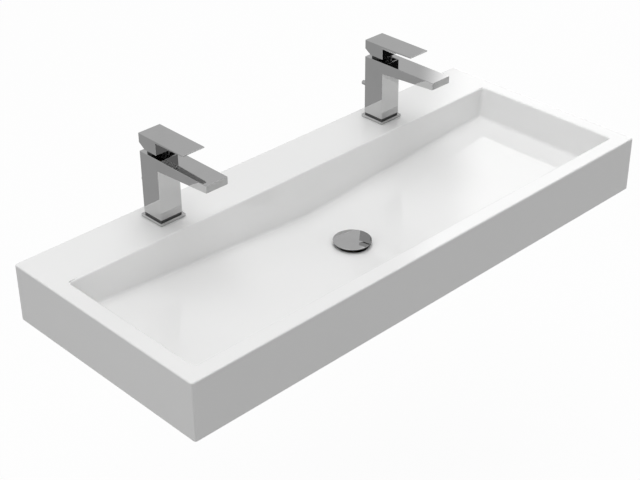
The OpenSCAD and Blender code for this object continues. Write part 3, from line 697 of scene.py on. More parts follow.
@dataclass
class BasinCasting:
    """The ceramic trough: tap deck, bowl with a valley floor, hollow underside and holes."""

    rim: float = 35 * MM
    tap_deck: float = 120 * MM
    deck_thickness: float = 18 * MM
    wall_thickness: float = 15 * MM
    shell: float = 12 * MM
    valley_height: float = 18 * MM
    end_rise: float = 37 * MM
    end_lean: float = 13.5 * MM
    side_lean: float = 3 * MM
    valley_lean: float = 3.3 * MM
    floor_round: float = 6 * MM
    valley_round: float = 8 * MM
    outer_round: float = 5 * MM
    top_round: float = 3 * MM
    lip_round: float = 3.2 * MM
    foot_round: float = 1.2 * MM
    hollow_round: float = 4 * MM
    boss_diameter: float = 120 * MM
    tap_hole: float = 35 * MM
    drain_hole: float = 46 * MM
    seat_diameter: float = 67.1 * MM
    seat_drop: float = 2.1 * MM
    bolt_hole: float = 14 * MM
    bolt_places: Sequence[float] = (-420 * MM, -140 * MM, 140 * MM, 420 * MM)
    smooth_angle: float = 32.0

    def __post_init__(self) -> None:
        """Takes the overall sizes from the frame."""
        self.low, self.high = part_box("basin")
        self.valley = self.low.z + self.valley_height
        flange_low, flange_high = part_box("waste_flange")
        self.drain = (flange_low + flange_high) / 2

    def _block(self) -> Workpiece:
        """Makes the outer block with its rounded corners and edges."""
        block = Workpiece.block("basin_casting", self.low, self.high)
        block.bevel(upright, self.outer_round, segments=6)
        block.bevel(level_at(self.high.z), self.top_round, segments=5)
        return block.bevel(level_at(self.low.z), self.foot_round)

    def _bowl(self, grow: float) -> Workpiece:
        """Makes the bowl's space as a cutter.

        Args:
            grow: How far its faces stand out, for the outside of the shell round it.

        Returns:
            The cutter.
        """
        mouth_x = self.high.x - self.rim + grow
        front, rear = self.low.y + self.rim - grow, self.high.y - self.tap_deck + grow
        slope = self.end_rise / (mouth_x - grow - self.end_lean - self.floor_round)
        lean = self.end_lean / (self.high.z - self.valley - self.end_rise - self.floor_round)
        valley = self.valley - grow
        end_x = (mouth_x - lean * (self.high.z - valley)) / (1 - lean * slope)
        bowl = Workpiece.block("bowl", Vector((-mouth_x, front, valley)),
                               Vector((mouth_x, rear, self.high.z)))
        bowl.slice(Vector((0, 0, 0)), Vector((1, 0, 0)))
        for side in (1, -1):
            bowl.shift_points(lambda p: p.z < 0 and p.x * side > NEAR,
                              (side * (end_x - mouth_x), 0, slope * end_x))
        middle, ceiling = (front + rear) / 2, self.high.z - NEAR
        for side in (-1, 1):
            bowl.shift_points(lambda p: p.z < ceiling and (p.y - middle) * side > 0,
                              (0, -side * self.valley_lean, 0))

        def on_fold(a: Vector, b: Vector) -> bool:
            """Tells whether an edge lies in the middle plane, where the floor folds."""
            return abs(a.x) < NEAR and abs(b.x) < NEAR

        bowl.bevel(lambda a, b: min(a.z, b.z) < ceiling and not on_fold(a, b),
                   self.floor_round + grow, segments=6)
        fold_top = valley + grow + self.floor_round
        bowl.bevel(lambda a, b: on_fold(a, b) and max(a.z, b.z) < fold_top
                   and abs(a.y - b.y) > self.tap_deck, self.valley_round, segments=4)
        return bowl.pull_faces(lambda c, n: n.z > FACING and c.z > ceiling, (0, 0, 10 * OVERRUN))

    def _underside(self) -> Workpiece:
        """Makes the space under the deck and the bowl as a cutter."""
        inner_x = self.high.x - self.rim - self.end_lean
        front = self.low.y + self.rim + self.side_lean
        hollow = Workpiece.block(
            "underside",
            Vector((-inner_x, front, self.low.z - OVERRUN)),
            Vector((inner_x, self.high.y - self.wall_thickness,
                    self.high.z - self.deck_thickness)),
        )
        hollow.bevel(upright, self.hollow_round, segments=4)
        boss_foot = Vector((self.drain.x, self.drain.y, self.low.z - 2 * OVERRUN))
        boss = Workpiece.rod("boss", boss_foot, self.boss_diameter,
                             self.valley_height + 2 * OVERRUN)
        return hollow.cut(self._bowl(self.shell), boss)

    def _holes(self) -> list[Workpiece]:
        """Makes the cutters of the tap holes, the drain and the wall bolts."""
        made = [Workpiece.drill("tap_hole", tap_axis(side) - self.deck_thickness * UPWARDS,
                                self.tap_hole, self.deck_thickness) for side in Side]
        x, y = self.drain.x, self.drain.y
        made.append(Workpiece.drill("drain_hole", Vector((x, y, self.low.z)), self.drain_hole,
                                    self.valley_height))
        made.append(Workpiece.rod("drain_seat", Vector((x, y, self.valley - self.seat_drop)),
                                  self.seat_diameter, 4 * self.seat_drop))
        inner_y = self.high.y - self.wall_thickness
        return made + [Workpiece.drill("bolt_hole", Vector((place, inner_y, 0)), self.bolt_hole,
                                       self.wall_thickness, Axis.BACK)
                       for place in self.bolt_places]

    def build(self) -> None:
        """Makes the casting and glazes it, but for the faces that stay bare clay."""
        casting = self._block().cut(self._bowl(0.0), self._underside(), *self._holes())
        mouth_x = self.high.x - self.rim + NEAR
        front, rear = self.low.y + self.rim - NEAR, self.high.y - self.tap_deck + NEAR

        def on_lip(p: Vector) -> bool:
            """Tells whether a point lies on the bowl's edge at the rim."""
            return abs(p.z - self.high.z) < NEAR and abs(p.x) < mouth_x and front < p.y < rear

        def unglazed(c: Vector, n: Vector) -> bool:
            """Tells whether a face lies on the wall or stands in the kiln."""
            on_wall = n.y > FACING and c.y > -NEAR
            return on_wall or (n.z < -FACING and c.z < self.low.z + NEAR)

        casting.bevel(lambda a, b: on_lip(a) and on_lip(b), self.lip_round, segments=5)
        casting.smooth(self.smooth_angle).coat(FINISHES[Slot.GLAZE]).paint(BISQUE, unglazed)
        casting.fit(Slot.GLAZE, "root", "basin")


class Side(Enum):
    """The two mixers."""

    LEFT = "left"
    RIGHT = "right"


def tap_axis(side: Side) -> Vector:
    """Gives the point where a mixer's axis meets the deck."""
    low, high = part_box(f"{side.value}_tap_body")
    half = (high.x - low.x) / 2
    return Vector(((low.x + high.x) / 2, high.y - half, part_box("basin")[1].z))


def near_corner(radius: float, level: float, rings: Sequence[Ring]) -> list[Ring]:
    """Gives rings by their inset and rise from a corner, in millimetres."""
    return [(radius - inset * MM, level + rise * MM) for inset, rise in rings]


@dataclass
class Mixer:
    """One square single-lever mixer: its metal that shows, with the sockets in it."""

    side: Side = Side.LEFT
    edge: float = 0.7 * MM
    spout_tip: float = 15.5 * MM
    spout_root: float = 25 * MM
    cartridge: float = 35.1 * MM
    cartridge_level: float = 97 * MM
    nut: float = 38.1 * MM
    nut_level: float = 134 * MM
    shank: float = 33.1 * MM
    thread_in: float = 12 * MM
    aerator: float = 24.1 * MM
    aerator_depth: float = 11.5 * MM
    aerator_back: float = 15 * MM
    aerator_mouth: float = 20 * MM
    aerator_edge: float = 0.4 * MM
    notch_width: float = 2 * MM
    notch_depth: float = 0.5 * MM
    tail: float = 10.1 * MM
    passage: float = 8 * MM
    slider: float = 9.1 * MM
    slider_back: float = 10 * MM
    slider_top: float = 90 * MM
    slot: float = 6.6 * MM
    slot_low: float = 63 * MM
    slot_high: float = 79 * MM
    lever_tip: float = 2.5 * MM
    lever_plate: float = 5 * MM
    block_front: float = 24 * MM
    slant_start: float = 9.5 * MM
    slant_rise: float = 10.5 * MM
    block_wall: float = 3 * MM
    room_round: float = 1.5 * MM
    hub: float = 18 * MM
    hub_level: float = 160 * MM
    socket: float = 8.2 * MM
    grub_level: float = 166 * MM
    grub: float = 5.1 * MM
    plug_hole: float = 6.1 * MM
    plate_edge: float = 0.7 * MM
    plate_hole: float = 33.6 * MM
    neck: float = 34.1 * MM
    neck_level: float = 146 * MM
    rim_height: float = 1.6 * MM
    pivot_level: float = 140 * MM
    dome: float = 19 * MM
    dome_inner: float = 17 * MM
    dome_mouth: float = 25 * MM
    dome_wall: float = 1.4 * MM
    dome_steps: int = 8
    knob_length: float = 10 * MM
    knob_neck: float = 3.5 * MM
    knob_stem: float = 2.5 * MM
    knob_spigot: float = 1.95 * MM
    knob_neck_start: float = 1.4 * MM
    knob_neck_rings: Sequence[Ring] = ((0.3, -1.2), (0, -0.9), (0, 0))
    knob_back_rings: Sequence[Ring] = ((0.5, 0), (0.15, 0.15), (0, 0.5))
    knob_face_rings: Sequence[Ring] = ((0, -1.2), (0.2, -0.6), (0.6, -0.2), (1.2, 0), (1.8, 0),
                                       (2.4, -0.3))
    knob_dish: Ring = (0.4 * MM, 0.5 * MM)
    knob_steps: int = 40
    shank_bore: float = 28 * MM
    thread_pitch: float = 1.5 * MM
    nut_flats: float = 46 * MM

    def __post_init__(self) -> None:
        """Finds the mixer's axis and the half width of its column."""
        self.foot = tap_axis(self.side)
        low, high = self.box("tap_body")
        self.half = (high.x - low.x) / 2

    def name(self, piece: str) -> str:
        """Gives a piece or a node the side's name."""
        return f"{self.side.value}_{piece}"

    def box(self, node: str) -> tuple[Vector, Vector]:
        """Gives a node's corners, measured from the mixer's foot."""
        low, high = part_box(self.name(node))
        return low - self.foot, high - self.foot

    def at(self, x: float, y: float, z: float) -> Vector:
        """Gives a place that is measured from the mixer's foot."""
        return self.foot + Vector((x, y, z))

    def _arm(self, piece: str, node: str, front: float, root: float, tip: float) -> Workpiece:
        """Makes a square column with a flat arm drawn out of the front of its top.

        Args:
            piece: The end of the piece's name.
            node: The end of the name of the CAD node that has the same overall size.
            front: How far the column reaches in front of its axis.
            root: The arm's thickness at the column.
            tip: The arm's thickness at its tip.

        Returns:
            The column and arm, with sharp edges.
        """
        low, high = self.box(node)
        under = high.z - root
        made = Workpiece.block(self.name(piece), self.at(-self.half, -front, low.z),
                               self.at(self.half, self.half, high.z))
        made.slice(self.at(0, 0, under), UPWARDS)
        middle = self.foot.z + (under + high.z) / 2
        made.pull_faces(lambda c, n: n.y < -FACING and abs(c.z - middle) < NEAR,
                        (0, low.y + front, 0))
        end, top = self.foot.y + low.y + NEAR, self.foot.z + high.z - NEAR
        return made.shift_points(lambda p: p.y < end and p.z < top, (0, 0, root - tip))

    def _spout_casting(self) -> Workpiece:
        """Makes the column and spout with their sockets, bores and rear slot."""
        casting = self._arm("spout_casting", "tap_body", self.half, self.spout_root,
                            self.spout_tip)
        return casting.bevel_sharp(self.edge).cut(*self._body_sockets())

    def _body_sockets(self) -> list[Workpiece]:
        """Makes the cutters of the casting's sockets, bores and slot."""
        low, high = self.box("tap_body")
        mouth = self.box("aerator_housing")[0].z
        tails = self.box("supply_tails")
        tail_x = (tails[1].x - tails[0].x) / 2 - self.tail / 2
        tail_y = (tails[0].y + tails[1].y) / 2
        bores = [
            ("cartridge_room", 0, 0, self.cartridge, self.cartridge_level, high.z + OVERRUN),
            ("nut_room", 0, 0, self.nut, self.nut_level, high.z + OVERRUN),
            ("shank_room", 0, 0, self.shank, low.z - OVERRUN, low.z + self.thread_in),
            ("aerator_room", 0, low.y + self.aerator_back, self.aerator, mouth - OVERRUN,
             mouth + self.aerator_depth),
        ]
        for x in (-tail_x, tail_x):
            bores += [
                ("tail_room", x, tail_y, self.tail, low.z, low.z + 2 * self.thread_in),
                ("passage", x, tail_y, self.passage, low.z, self.cartridge_level + OVERRUN),
            ]
        bores.append(("slider_room", 0, self.slider_back, self.slider, low.z, self.slider_top))
        made = [Workpiece.rod(name, self.at(x, y, start), diameter, end - start)
                for name, x, y, diameter, start, end in bores]
        for z in (self.slot_low, self.slot_high):
            made.append(Workpiece.rod("slot_end", self.at(0, self.slider_back, z), self.slot,
                                      self.half, Axis.BACK))
        slot_low = self.at(-self.slot / 2, self.slider_back, self.slot_low)
        slot_high = self.at(self.slot / 2, self.half + self.slider_back, self.slot_high)
        return made + [Workpiece.block("slot", slot_low, slot_high)]

    def _lever(self) -> Workpiece:
        """Makes the lever and its block, hollow round the collar, with the spindle's socket."""
        low, high = self.box("lever")
        ceiling = high.z - self.lever_plate
        lever = self._arm("lever_shell", "lever", self.block_front, self.lever_plate,
                          self.lever_tip)
        slant = Vector((0, self.slant_rise, self.slant_start - self.half))
        lever.slice(self.at(0, self.slant_start, low.z), slant, keep_outer=False)
        lever.bevel_sharp(self.edge)
        inner, front = self.half - self.block_wall, self.block_wall - self.block_front
        wide = self.socket / 2
        room = Workpiece.block("room", self.at(-inner, front, low.z - OVERRUN),
                               self.at(inner, inner, ceiling))
        room.bevel(upright, self.room_round)
        room.cut(Workpiece.rod("hub", self.at(0, 0, self.hub_level), self.hub,
                               ceiling - self.hub_level + OVERRUN))
        lever.cut(
            room,
            Workpiece.block("socket", self.at(-wide, -wide, self.hub_level - OVERRUN),
                            self.at(wide, wide, ceiling - OVERRUN)),
            Workpiece.rod("grub_hole", self.at(0, 0, self.grub_level), self.grub, self.hub,
                          Axis.BACK),
            Workpiece.drill("rear_hole", self.at(0, inner, self.grub_level), self.plug_hole,
                            self.block_wall, Axis.BACK),
        )

        def under_plate(c: Vector, n: Vector) -> bool:
            """Tells whether a face lies under the plate, in front of the block."""
            return n.z < -FACING and c.y < self.foot.y - self.block_front

        def in_room(c: Vector, _: Vector) -> bool:
            """Tells whether a face lies in the room round the collar."""
            x, y, z = c - self.foot
            return (abs(x) < inner + NEAR and front - NEAR < y < inner + NEAR
                    and low.z + NEAR < z < ceiling + NEAR)

        # The plate's underside takes the darker satin chrome: painted shade under the plate.
        lever.coat(FINISHES[Slot.CHROME]).paint(SATIN_SHADED_CHROME, under_plate)
        # The room round the collar takes the dark rough casting: painted shade in the recess.
        return lever.paint(SHADED_CASTING_INSIDE, in_room)

    def _foot_plate(self) -> Workpiece:
        """Makes the base plate with its rounded upper edge."""
        low, high = self.box("base_plate")
        plate = Workpiece.block(self.name("foot_plate"), self.foot + low, self.foot + high)
        on_top = level_at(self.foot.z + high.z)
        plate.bevel(lambda a, b: upright(a, b) or on_top(a, b), self.plate_edge, segments=4)
        return plate.cut(Workpiece.drill("plate_hole", self.at(0, 0, low.z), self.plate_hole,
                                         high.z - low.z))

    def _dome(self, ball: float, start: float, end: float) -> list[Ring]:
        """Gives the rings of a dome round the lever's pivot.

        Args:
            ball: The dome's radius.
            start: The level of its first ring.
            end: The level of its last ring.

        Returns:
            The rings, none of them narrower than the dome's mouth.
        """
        rings = []
        for step in range(self.dome_steps + 1):
            level = start + (end - start) * step / self.dome_steps
            reach = math.sqrt(ball**2 - (level - self.pivot_level) ** 2)
            rings.append((max(reach, self.dome_mouth / 2), level))
        return rings

    def _collar(self) -> Workpiece:
        """Makes the round collar with the dome inside the lever, in near-black chrome that is
        painted shade.
        """
        low, high = self.box("collar")
        radius, edge = high.x, self.edge
        rim, neck, mouth = self.neck_level + self.rim_height, self.neck / 2, self.dome_mouth / 2
        under = high.z - self.dome_wall
        profile = [
            (neck, low.z), (radius - edge, low.z), (radius, low.z + edge), (radius, rim - edge),
            (radius - edge / 3, rim - edge / 3), (radius - edge, rim),
            *self._dome(self.dome, rim, high.z), (mouth, high.z), (mouth, under),
            *self._dome(self.dome_inner, under, self.neck_level), (neck, self.neck_level),
        ]
        ring = Workpiece.turned(self.name("collar_ring"), self.foot, profile, hollow=True)
        # The collar is coated in near-black chrome as painted shade under the lever block.
        return ring.coat(SHADED_COLLAR_CHROME)

    def _knob(self) -> Workpiece:
        """Makes the pull knob, its neck and its stem."""
        low, high = self.box("pull_knob")
        radius = (high.z - low.z) / 2
        face, stem_end = high.y, self.slider_back + self.slider / 2
        grip = face - self.knob_length
        profile = [
            (self.knob_spigot, low.y), (self.knob_spigot, stem_end), (self.knob_stem, stem_end),
            (self.knob_stem, grip - self.knob_neck_start),
            *near_corner(self.knob_neck, grip, self.knob_neck_rings),
            *near_corner(radius, grip, self.knob_back_rings),
            *near_corner(radius, face, self.knob_face_rings),
            (self.knob_dish[0], face - self.knob_dish[1]),
        ]
        return Workpiece.turned(self.name("knob"), self.at(0, 0, (low.z + high.z) / 2), profile,
                                Axis.BACK, steps=self.knob_steps)

    def _aerator(self) -> Workpiece:
        """Makes the aerator's ring with two key notches in its lower face."""
        low, high = self.box("aerator_housing")
        radius, y = (high.x - low.x) / 2, (low.y + high.y) / 2
        inner, edge = self.aerator_mouth / 2, self.aerator_edge
        profile = [(inner, low.z + edge), (inner + edge, low.z), (radius - edge, low.z),
                   (radius, low.z + edge), (radius, high.z), (inner, high.z)]
        ring = Workpiece.turned(self.name("aerator_ring"), self.at(0, y, 0), profile, hollow=True)
        reach, wide = radius + OVERRUN, self.notch_width / 2
        return ring.cut(Workpiece.block("notch", self.at(-reach, y - wide, low.z - OVERRUN),
                                        self.at(reach, y + wide, low.z + self.notch_depth)))

    def _shank(self) -> Workpiece:
        """Makes the shank, threaded below the deck."""
        low, high = self.box("shank")
        diameter, foot = high.x - low.x, self.at(0, 0, low.z)
        thread = Workpiece.screw_thread(self.name("shank_thread"), foot, diameter, -low.z,
                                        self.thread_pitch)
        plain = Workpiece.rod("plain", self.at(0, 0, -OVERRUN), diameter, high.z + OVERRUN)
        bore = Workpiece.drill("bore", foot, self.shank_bore, high.z - low.z)
        return thread.weld(plain).cut(bore)

    def _lock_nut(self) -> Workpiece:
        """Makes the hexagon nut with turned corners."""
        low, high = self.box("lock_nut")
        return hexagon_nut(self.name("fixing_nut"), self.at(0, 0, low.z), self.nut_flats,
                           high.z - low.z, self.shank)

    def build(self) -> list[tuple[Workpiece, Slot, str, str]]:
        """Makes all the pieces.

        Returns:
            Each piece with its slot, the end of its body's name and the end of its node's name.
        """
        return [
            (self._spout_casting().smooth(), Slot.CHROME, "root", "tap_body"),
            (self._lever().smooth(), Slot.CHROME, "handle", "lever"),
            (self._foot_plate().smooth(), Slot.CHROME, "root", "base_plate"),
            (self._collar().smooth(), Slot.CHROME, "root", "collar"),
            (self._knob().smooth(), Slot.CHROME, "pull", "pull_knob"),
            (self._aerator().smooth(), Slot.CHROME, "root", "aerator_housing"),
            (self._shank().smooth(), Slot.BRASS, "root", "shank"),
            (self._lock_nut().smooth(), Slot.BRASS, "root", "lock_nut"),
        ]


def hexagon_nut(name: str, foot: Vector, flats: float, height: float, bore: float) -> Workpiece:
    """Makes a hexagon nut whose corners are turned off at both ends.

    Args:
        name: The nut's name.
        foot: The middle of its lower face.
        flats: Its width across the flats.
        height: Its height.
        bore: The diameter of its bore.

    Returns:
        The nut.
    """
    turn, inner, beyond = math.radians(30), flats / 2, OVERRUN / 10
    corner = inner / math.cos(turn)
    fall = (corner - inner) * math.tan(turn)
    cone = [(inner, -beyond), (inner, 0.0), (corner, fall), (corner, height - fall),
            (inner, height), (inner, height + beyond)]
    mouth, soft = bore / 2 + NUT_CHAMFER + OVERRUN, NUT_CHAMFER
    hole = [(mouth, -OVERRUN), (bore / 2, soft), (bore / 2, height - soft),
            (mouth, height + OVERRUN)]
    nut = Workpiece.hexagon(name, foot, corner, height)
    nut.keep_inside(Workpiece.turned("corners", foot, cone))
    return nut.cut(Workpiece.turned("bore", foot, hole))


def fit_mixers() -> None:
    """Makes the left mixer's pieces, copies them to the right one and fits both."""
    shift = tap_axis(Side.RIGHT) - tap_axis(Side.LEFT)
    for piece, slot, body, node in Mixer(Side.LEFT).build():
        twin_name = piece.obj.name.replace(Side.LEFT.value, Side.RIGHT.value, 1)
        twin = piece.copy(twin_name, shift)
        for side, work in ((Side.LEFT, piece), (Side.RIGHT, twin)):
            owner = body if body == "root" else f"{side.value}_{body}"
            work.fit(slot, owner, f"{side.value}_{node}")


@dataclass
class Waste:
    """The plug and the waste: cap, skirt, flange, nut, tail and the nut of the rod's port."""

    cap_edge: float = 0.35 * MM
    cap_steps: int = 4
    cap_crown: float = 1.0 * MM
    crown_rings: Sequence[float] = (0.85, 0.7, 0.5, 0.3, 0.12)
    cap_boss: float = 16 * MM
    skirt_bore: float = 62 * MM
    skirt_edge: float = 0.3 * MM
    stem_hole: float = 6.1 * MM
    stem_hole_depth: float = 5.1 * MM
    flange_bore: float = 40 * MM
    flange_tube: float = 45 * MM
    flange_thickness: float = 1.6 * MM
    nut_flats: float = 60 * MM
    spigot: float = 39.9 * MM
    collar_height: float = 3 * MM
    tail_edge: float = 0.5 * MM
    tail_tube: float = 38.6 * MM
    thread: float = 41.9 * MM
    thread_length: float = 25 * MM
    thread_pitch: float = 2.2 * MM
    thread_steps: int = 48
    tail_bore: float = 35 * MM
    port: float = 20 * MM
    port_bore: float = 12.2 * MM
    nut_hole: float = 10 * MM
    nut_lid: float = 5 * MM
    ribs: int = 18
    groove: float = 1.8 * MM
    groove_start: float = 2.5 * MM
    groove_steps: int = 8

    def __post_init__(self) -> None:
        """Finds the drain's axis."""
        low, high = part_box("waste_flange")
        self.axis = Vector(((low.x + high.x) / 2, (low.y + high.y) / 2, 0))

    def _cap(self) -> None:
        """Makes the plug's crowned cap with its stem's hole, and the skirt under its edge."""
        low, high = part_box("plug_cap")
        skirt_low, skirt_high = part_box("cap_skirt")
        radius, edge = (high.x - low.x) / 2, self.cap_edge
        boss, core, hole = self.cap_boss / 2, self.skirt_bore / 2 - NEAR, self.stem_hole / 2
        rim, flat = high.z - self.cap_crown, radius - edge
        turns = [math.pi / 2 * step / self.cap_steps for step in range(self.cap_steps + 1)]
        profile = [
            (hole, low.z + self.stem_hole_depth), (hole, low.z), (boss - edge, low.z),
            (boss, low.z + edge), (boss, skirt_low.z), (core, skirt_low.z),
            (core, skirt_high.z), (radius, skirt_high.z),
            *((flat + edge * math.cos(turn), rim - edge + edge * math.sin(turn))
              for turn in turns),
            *((flat * share, rim + self.cap_crown * (1 - share**2))
              for share in self.crown_rings),
        ]
        cap = Workpiece.turned("drain_cap", self.axis, profile, steps=WIDE_STEPS)
        cap.smooth().fit(Slot.CHROME, "plug", "plug_cap")
        inner, outer = core + 2 * NEAR, (skirt_high.x - skirt_low.x) / 2
        ring = [(inner, skirt_low.z), (outer - self.skirt_edge, skirt_low.z),
                (outer, skirt_low.z + self.skirt_edge), (outer, skirt_high.z),
                (inner, skirt_high.z)]
        skirt = Workpiece.turned("drain_cap_skirt", self.axis, ring, hollow=True,
                                 steps=WIDE_STEPS)
        skirt.smooth().fit(Slot.RUBBER, "plug", "cap_skirt")

    def _flange(self) -> None:
        """Makes the chromed flange and its tube."""
        low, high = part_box("waste_flange")
        radius, tube, bore = (high.x - low.x) / 2, self.flange_tube / 2, self.flange_bore / 2
        soft, top, under = SOFT_EDGE, high.z, high.z - self.flange_thickness
        half = soft / 2
        outer = radius - half
        profile = [(bore, low.z), (tube - soft, low.z), (tube, low.z + soft), (tube, under),
                   (outer, under), (radius, under + half), (outer, top - half),
                   (radius - 3 * soft, top), (bore + 3 * soft, top), (bore + soft, top - half),
                   (bore, top - 2 * soft)]
        flange = Workpiece.turned("drain_flange", self.axis, profile, hollow=True,
                                  steps=WIDE_STEPS)
        flange.smooth().fit(Slot.CHROME, "root", "waste_flange")

    def _nut(self) -> None:
        """Makes the brass nut under the ceramic."""
        low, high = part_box("backnut")
        nut = hexagon_nut("waste_nut", self.axis + low.z * UPWARDS, self.nut_flats,
                          high.z - low.z, self.flange_tube + 2 * NEAR)
        nut.smooth().fit(Slot.BRASS, "root", "backnut")

    def _tail(self) -> None:
        """Makes the tail with its collar, thread and side port."""
        low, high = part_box("waste_tail")
        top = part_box("waste_flange")[0].z
        under, soft, collar = top - self.collar_height, self.tail_edge, (high.x - low.x) / 2
        spigot, tube = self.spigot / 2, self.tail_tube / 2
        profile = [(tube, low.z + self.thread_length - OVERRUN), (tube, under),
                   (collar - soft, under), (collar, under + soft), (collar, top - soft),
                   (collar - soft, top), (spigot, top), (spigot, high.z - soft),
                   (spigot - soft, high.z)]
        tail = Workpiece.turned("tail_pipe", self.axis, profile)
        foot = self.axis + low.z * UPWARDS
        thread = Workpiece.screw_thread("tail_thread", foot, self.thread, self.thread_length,
                                        self.thread_pitch, self.thread_steps)
        nut_low, nut_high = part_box("pivot_nut")
        start = self.axis + (nut_low.z + nut_high.z) / 2 * UPWARDS
        reach = high.y - self.axis.y
        port = Workpiece.rod("port", start, self.port, reach, Axis.BACK)
        bore = Workpiece.drill("tail_bore", foot, self.tail_bore, high.z - low.z)
        port_bore = Workpiece.rod("port_bore", start, self.port_bore, reach + OVERRUN, Axis.BACK)
        tail.weld(thread, port).cut(bore, port_bore)
        tail.smooth().fit(Slot.CHROME, "root", "waste_tail")

    def _port_nut(self) -> None:
        """Makes the ribbed nut that holds the ball in its port."""
        low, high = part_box("pivot_nut")
        radius, depth = (high.x - low.x) / 2, high.y - low.y
        foot = Vector((self.axis.x, low.y, (low.z + high.z) / 2))
        inner, hole, soft = self.port / 2 + NEAR, self.nut_hole / 2, SOFT_EDGE
        profile = [(inner, 0.0), (radius - soft, 0.0), (radius, soft), (radius, depth - soft),
                   (radius - soft, depth), (hole + soft, depth), (hole, depth - soft),
                   (hole, depth - self.nut_lid), (inner, depth - self.nut_lid)]
        nut = Workpiece.turned("port_nut", foot, profile, Axis.BACK, hollow=True,
                               steps=4 * self.ribs)
        for rib in range(self.ribs):
            turn = 2 * math.pi * rib / self.ribs
            place = Vector((math.cos(turn) * radius, self.groove_start, math.sin(turn) * radius))
            rings = [(self.groove / 2, 0.0), (self.groove / 2, depth)]
            nut.cut(Workpiece.turned("groove", foot + place, rings, Axis.BACK,
                                     steps=self.groove_steps))
        nut.smooth().fit(Slot.CHROME, "root", "pivot_nut")

    def build(self) -> None:
        """Makes and fits all the pieces."""
        self._cap()
        self._flange()
        self._nut()
        self._tail()
        self._port_nut()


def dress_inner_nodes() -> None:
    """Gives the record's finish to every CAD node that still shows."""
    slots = {part["node"]: Slot(part["material_slot"]) for part in frame["record"]["subparts"]}
    for name, node in frame["nodes"].items():
        if node.hide_render:
            continue
        finish = FOOT_RUBBER if name.endswith("foot_seal") else FINISHES[slots[name]]
        node.data.materials.clear()
        node.data.materials.append(finish.material())
        log.info("%s: CAD mesh in %s", name, finish.name)


@dataclass(frozen=True)
class Lamp:
    """A soft box that points at the basin, and that mirrors may or may not see."""

    name: str
    power: float
    size: tuple[float, float]
    place: tuple[float, float, float]
    mirrored: bool = True

    def hang(self, aim: Vector) -> None:
        """Hangs the soft box so that it points at a place."""
        light = bpy.data.lights.new(self.name, "AREA")
        light.shape = "RECTANGLE"
        light.size, light.size_y = self.size
        light.energy = self.power
        box = bpy.data.objects.new(self.name, light)
        bpy.context.scene.collection.objects.link(box)
        box.location = self.place
        box.rotation_mode = "QUATERNION"
        box.rotation_quaternion = (aim - box.location).to_track_quat("-Z", "Y")
        box.visible_camera = False
        box.visible_glossy = self.mirrored


@dataclass(frozen=True)
class Card:
    """A card that only mirrors see, of one tone or of two that meet in a soft slanted edge.

    The second tone starts where x plus lean times z passes the edge's two values.
    """

    name: str
    corners: Sequence[Sequence[float]]
    tone: float
    far_tone: float | None = None
    edge: tuple[float, float] = (0.0, 1.0)
    lean: float = 0.0

    def stand(self) -> None:
        """Stands the card in the studio."""
        mesh = bpy.data.meshes.new(self.name)
        mesh.from_pydata([Vector(corner) for corner in self.corners], [], [(0, 1, 2, 3)])
        card = bpy.data.objects.new(self.name, mesh)
        bpy.context.scene.collection.objects.link(card)
        mesh.materials.append(make_material(self.name, self._surface))
        card.visible_camera = card.visible_diffuse = card.visible_shadow = False

    def _surface(self, graph: Graph) -> Signal:
        """Draws the card's tone or tones."""
        shown = graph.glow(self.tone)
        if self.far_tone is None:
            return shown
        place = graph.add("ShaderNodeTexCoord", output="Object")
        x = graph.add("ShaderNodeSeparateXYZ", {"Vector": place}, "X")
        z = graph.add("ShaderNodeSeparateXYZ", {"Vector": place}, "Z")
        share = graph.contrast(x + self.lean * z, *self.edge)
        return graph.either(share, shown, graph.glow(self.far_tone))


